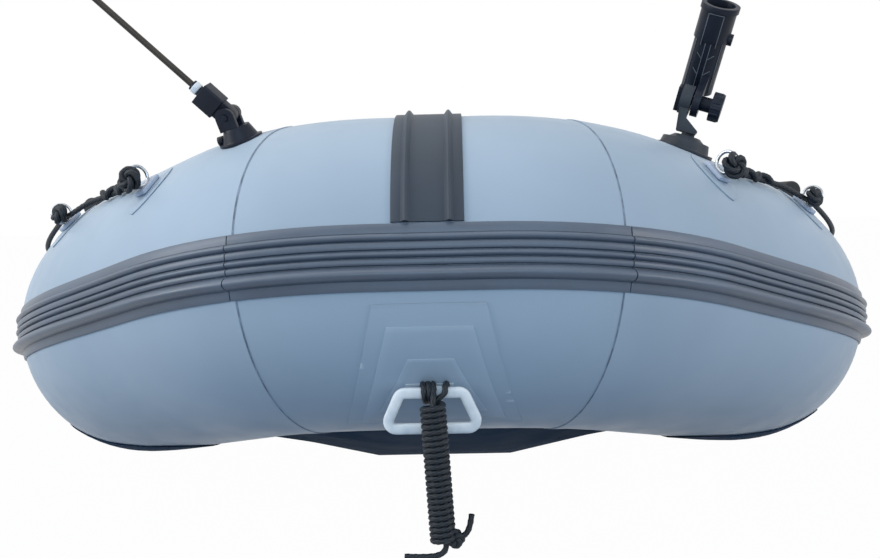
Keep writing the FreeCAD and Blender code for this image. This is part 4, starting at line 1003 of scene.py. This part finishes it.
def make_grab_lines():
    for side, sign in (("port", 1), ("starboard", -1)):
        node = "grab_line_" + side
        route = [Vector((x * sign, y, z)) for x, y, z in LINE_ROUTE]
        line, path = braid(node + "_braid", route, GRAB_D / 2)
        dress(line, BLACK_ROPE, "black_rope", "boat", node)
        spots = (route[0], spot_along(path, SECOND_RING_AT)[0], route[-1])
        on_line = []
        for spot, (which, (x, y, z), facing, size) in zip(spots, LINE_KNOTS):
            facing = Vector((facing[0] * sign, facing[1], facing[2]))
            on_line.append(knot(f"{node}_{which}_knot", spot + Vector((x * sign, y, z)), facing, size))
        on_line.append(spare_end(node + "_spare_end", path, sign))
        for piece in on_line:
            dress(piece, BLACK_ROPE, "black_rope")


make_painter()
make_grab_lines()


# Grab line rings
# Each ring is polished steel wire, welded shut. It hangs in a webbing tab on a leaf-shaped patch,
# which is two layers of tube fabric.

def polished_metal(name, colour, roughness, stretch=None):
    """Metal with fine drawn lines, brushed along its length, and a few handling smears."""
    material = plain_material(name, colour, roughness, Metallic=1.0)
    lines = object_texture(material, "Noise", 60.0, stretch, Detail=6.0)
    vary_gloss(material, lines, (0.0, roughness - 0.08), (1.0, roughness + 0.14))
    vary_colour(material, lines, colour, (0.3, 0.86), (0.7, 1.08))
    add_bump(material, lines, 0.06, 0.0003)
    return material


STEEL = polished_metal("polished_steel", (0.42, 0.45, 0.49), 0.24)
RING_S = (0.275, 0.500, 1.0749, 1.5749, 2.0749, 2.5749)
RING_DEG = (52.0, 64.0)
LEAF_LAYER = (0.036, 0.0235)
LEAF_TIP = 0.995
WEBBING = (0.034, 0.024, 0.0060)
WEBBING_EDGE = 0.0018
WEBBING_FABRIC = coated_fabric("pale_webbing", (0.50, 0.55, 0.66), 0.5)


def ring_degrees(s):
    share = min((s - RING_S[0]) / (RING_S[2] - RING_S[0]), 1)
    return RING_DEG[0] + (RING_DEG[1] - RING_DEG[0]) * share


def leaf_layer(name, s, degrees):
    """The patch's second layer: the same leaf shape, smaller, bent to the tube."""
    half_l, half_w = LEAF_LAYER
    arc = (half_l ** 2 + half_w ** 2) / (2 * half_w)
    bpy.ops.mesh.primitive_grid_add(x_subdivisions=6, y_subdivisions=18)
    leaf = settle(name)
    for vertex in leaf.data.vertices:
        across = vertex.co.y * half_l * LEAF_TIP
        width = math.sqrt(arc ** 2 - across ** 2) - (arc - half_w)
        turned = degrees - math.degrees(across / TUBE_R)
        point, normal, _, _ = skin_spot(s + vertex.co.x * width, turned)
        vertex.co = point + normal * (SEAT + PATCH_T)
    apply_modifier(leaf, "SOLIDIFY", thickness=LAYER_T, offset=1.0)
    close_and_smooth(leaf, 40, fill=False)
    return leaf


def placed_block(name, at, axes, size):
    """A block of a size, with its middle at a point and its sides along three axes."""
    bpy.ops.mesh.primitive_cube_add(size=1)
    turn = Matrix(axes).transposed().to_4x4()
    bpy.context.object.matrix_world = Matrix.Translation(at) @ turn @ Matrix.Diagonal((*size, 1))
    return settle(name)


def webbing_tab(name, s, degrees):
    """A band of webbing, folded round the ring and glued between the patch's layers."""
    point, normal, along, across = skin_spot(s, degrees)
    middle = point + normal * (SEAT + PATCH_T + WEBBING[2] / 2)
    tab = placed_block(name, middle, (across, along, normal), WEBBING)
    bevel(tab, WEBBING_EDGE, 3)
    return close_and_smooth(tab, 40, fill=False)


def joined(name, pieces):
    pick(pieces[0])
    for piece in pieces:
        piece.select_set(True)
    bpy.ops.object.join()
    pieces[0].name = pieces[0].data.name = name
    return pieces[0]


def make_rings():
    for side in ("port", "starboard"):
        patches, rings = "line_patches_" + side, "line_rings_" + side
        finish(patches, "_layers", TUBE_FABRIC, "tube_fabric", soften=0.0003, degrees=50)
        leaves = joined(patches + "_second_layer",
                        [leaf_layer(f"leaf_{k}", s, ring_degrees(s)) for k, s in enumerate(RING_S)])
        tabs = joined(rings + "_webbing",
                      [webbing_tab(f"tab_{k}", s, ring_degrees(s)) for k, s in enumerate(RING_S)])
        for piece, material in ((leaves, TUBE_FABRIC), (tabs, WEBBING_FABRIC)):
            if side == "starboard":
                mirror_mesh(piece)
            dress(piece, material, "tube_fabric")
        finish(rings, "_wire", STEEL, "ring_steel", degrees=60)


make_rings()


# Rod holder
# A round foot is glued on the port bow tube. A post turns in it, and carries a tilting tube that is
# held by a clamp knob. All of it is black moulded plastic, with fine raised lines on the tube, which
# are a paler grey as painted highlight.

GLOSSY_BLACK = moulded_plastic("black_plastic_satin", (0.008, 0.012, 0.022), 0.38)
# A paler copy of the black plastic, used for the foot and the post.
PALER_BLACK = moulded_plastic("black_plastic_paler", (0.034, 0.040, 0.050), 0.44)
# The raised lines' paler grey is painted highlight along them.
PAINTED_HIGHLIGHT_BLACK = moulded_plastic("black_plastic_painted_highlight", (0.11, 0.12, 0.14), 0.25)


JOINTS = {joint["name"]: joint for joint in frame["joints"]}
ROD_AXIS = Vector((0.16771, -0.48093, 0.86057))
ROD_TUBE_BACK = 0.046
ROD_TUBE_SIDE = -0.011
ROD_TUBE_R = 0.022
COLLAR_R = 0.024
BARREL_RIBS = ((-0.0036, 0.006, 0.074), (0.0036, 0.006, 0.074), (-0.0172, 0.004, 0.078),
               (0.0172, 0.004, 0.078))
COLLAR_RIBS = ((-0.0100, 0.070, 0.1145), (0.0100, 0.070, 0.1145))
CHEVRONS = ((-1, 0.030), (1, 0.030), (-1, 0.052), (1, 0.052))
CHEVRON_ENDS = ((0.0036, 0.0), (0.0115, 0.0070))
BARREL_RIB = (0.0011, 0.0018)
COLLAR_RIB = (0.0012, 0.0018)
CROSS_RIB = (0.0013, 0.0050)
CROSS_RIB_STAND = 0.0006
CHEVRON_RIB = (0.0011, 0.0026)
RIB_EDGE = 0.3
KNOB_LOBES = 14
LOBES_AROUND_R = 0.0176
LOBE_START = 0.017325
LOBE_L = 0.0130
LOBE_R = 0.0024
PEG_EDGE = 0.0010


def small_bar(start, end, out, width, height):
    """A rounded rib between two points, standing a little out of the surface."""
    ahead = (end - start).normalized()
    side = out.cross(ahead).normalized()
    bar = placed_block("rib", (start + end) / 2, (ahead, side, ahead.cross(side)),
                       ((end - start).length, width, height))
    bevel(bar, min(width, height) * RIB_EDGE, 2)
    return close_and_smooth(bar, 40, fill=False)


def round_peg(name, start, end, radius):
    bpy.ops.mesh.primitive_cylinder_add(vertices=32, radius=radius, depth=(end - start).length)
    peg = bpy.context.object
    turn = (end - start).to_track_quat("Z", "Y").to_matrix().to_4x4()
    peg.matrix_world = Matrix.Translation((start + end) / 2) @ turn
    settle(name)
    bevel(peg, PEG_EDGE, 3)
    return close_and_smooth(peg, 40, fill=False)


def make_rod_holder():
    for node, body, material, soften in (
            ("rod_base", "boat", PALER_BLACK, 0.0012), ("rod_post", "rod_swivel", PALER_BLACK, 0.0010),
            ("rod_cradle", "rod_arm", GLOSSY_BLACK, 0.0008),
            ("rod_clamp_knob", "rod_arm", GLOSSY_BLACK, 0.0010)):
        finish(node, "_moulding", material, "black_plastic", body, soften)
    tilt = JOINTS["rod_tilt"]
    knuckle, hinge = Vector(tilt["pos_m"]), Vector(tilt["axis"])
    front = hinge.cross(ROD_AXIS).normalized()
    if front.y > 0:
        front = -front
    low = knuckle - front * ROD_TUBE_BACK + hinge * ROD_TUBE_SIDE

    def on_tube(x, rise, radius):
        return low + ROD_AXIS * rise + hinge * x + front * math.sqrt(radius ** 2 - x ** 2)

    ribs = []
    for rows, radius, size in ((BARREL_RIBS, ROD_TUBE_R, BARREL_RIB), (COLLAR_RIBS, COLLAR_R, COLLAR_RIB)):
        for x, start, end in rows:
            out = (on_tube(x, 0, radius) - low).normalized()
            ribs.append(small_bar(on_tube(x, start, radius), on_tube(x, end, radius), out, *size))
    left, right = [on_tube(x, top, COLLAR_R) + front * CROSS_RIB_STAND for x, _, top in COLLAR_RIBS]
    ribs.append(small_bar(left, right, front, *CROSS_RIB))
    for side, rise in CHEVRONS:
        start, end = [on_tube(side * x, rise + up, ROD_TUBE_R) for x, up in CHEVRON_ENDS]
        ribs.append(small_bar(start, end, (start - low - ROD_AXIS * rise).normalized(), *CHEVRON_RIB))
    # The raised lines are dressed in the paler grey, as painted highlight.
    dress(joined("rod_cradle_ribs", ribs), PAINTED_HIGHLIGHT_BLACK, "black_plastic", "rod_arm")
    lobes = []
    for k in range(KNOB_LOBES):
        angle = math.tau * k / KNOB_LOBES
        out = ROD_AXIS * math.cos(angle) + front * math.sin(angle)
        at = knuckle + hinge * LOBE_START + out * LOBES_AROUND_R
        lobes.append(round_peg("lobe", at, at + hinge * LOBE_L, LOBE_R))
    dress(joined("rod_clamp_knob_grips", lobes), GLOSSY_BLACK, "black_plastic", "rod_arm")


make_rod_holder()


# Staff holder
# A small folding holder on the starboard bow tube carries a thin dark fibre staff, which a white
# collar holds at the holder's tip.

CARBON = moulded_plastic("dark_fibre", (0.060, 0.048, 0.040), 0.30, 900.0)
STAFF_AXIS = Vector((-0.72, -0.12, 0.68)).normalized()
COLLAR_ALONG = (0.0468, 0.0550)
STAFF_COLLAR_R = 0.0078


def make_staff():
    finish("staff_base", "_moulding", GLOSSY_BLACK, "black_plastic", soften=0.0008)
    finish("staff_socket", "_moulding", GLOSSY_BLACK, "black_plastic", "staff_arm", 0.0006)
    finish("staff", "_rod", CARBON, "carbon_staff", "staff_arm", 0.0008, 30)
    pivot = Vector(JOINTS["staff_fold"]["pos_m"])
    start, end = [pivot + STAFF_AXIS * distance for distance in COLLAR_ALONG]
    collar = round_peg("staff_collar", start, end, STAFF_COLLAR_R)
    dress(collar, WHITE_PLASTIC, "white_plastic", "staff_arm")


make_staff()


# Rowlocks and oars
# Each oar is an anodised tube with a rubber grip and a moulded blade. Its ring turns on a pin in a
# black moulded base on the side tube, so the oar stows along the tube.

OAR_METAL = polished_metal("oar_anodised", (0.46, 0.48, 0.51), 0.38, (8, 0.6, 8))
GRIP_RUBBER = rubber("black_grip_rubber", (0.022, 0.023, 0.025), 0.62, 0.3)


def make_oars():
    for side in ("_port", "_starboard"):
        for node, body, material, slot, soften in (
                ("rowlock_base", "boat", BLACK_PLASTIC, "black_plastic", 0.0015),
                ("rowlock", "oar" + side, BLACK_PLASTIC, "black_plastic", 0.0012),
                ("oar_shaft", "oar" + side, OAR_METAL, "oar_metal", 0.0006),
                ("oar_grip", "oar" + side, GRIP_RUBBER, "grip_rubber", 0.0020),
                ("oar_blade", "oar" + side, BLACK_PLASTIC, "black_plastic", 0.0015)):
            finish(node + side, "_finished", material, slot, body, soften)


make_oars()


# Benches, deck and transom
# Two anodised benches sit in black rails on the side tubes. The deck is a flat air chamber with an
# embossed tread, and the transom is coated board with a plastic pad on each face for a motor's clamp.

BENCH_METAL = polished_metal("bench_anodised", (0.42, 0.44, 0.47), 0.44, (0.5, 9, 9))


def embossed_fabric(name, colour):
    """The deck's fabric: small raised cells for grip, darker in the hollows between them."""
    material = plain_material(name, colour, 0.62)
    cells = object_texture(material, "Voronoi", 95.0)
    vary_colour(material, cells, colour, (0.15, 1.08), (0.62, 0.80))
    bump = add_bump(material, cells, 0.5, 0.0012)
    bump.invert = True
    return material


def make_inside():
    deck = embossed_fabric("deck_tread", (0.42, 0.46, 0.51))
    board = coated_fabric("transom_coating", (0.33, 0.37, 0.43), 0.46)
    for material, slot, soften, nodes in (
            (STRAKE_RUBBER, "strake_rubber", 0.0006, ("seat_rail_port", "seat_rail_starboard")),
            (BENCH_METAL, "bench_metal", 0.0030, ("seat_front", "seat_rear")),
            (deck, "deck_fabric", 0.006, ("air_deck",)),
            (board, "transom_board", 0.003, ("transom",)),
            (BLACK_PLASTIC, "black_plastic", 0.0015, ("transom_pad_outer", "transom_pad_inner")),
            (BLACK_PLASTIC, "black_plastic", 0.0010, ("drain_valve",)),
            (BLACK_PLASTIC, "black_plastic", 0.0012, ("deck_valve", "valve_port", "valve_starboard"))):
        for node in nodes:
            finish(node, "_finished", material, slot, soften=soften)


make_inside()
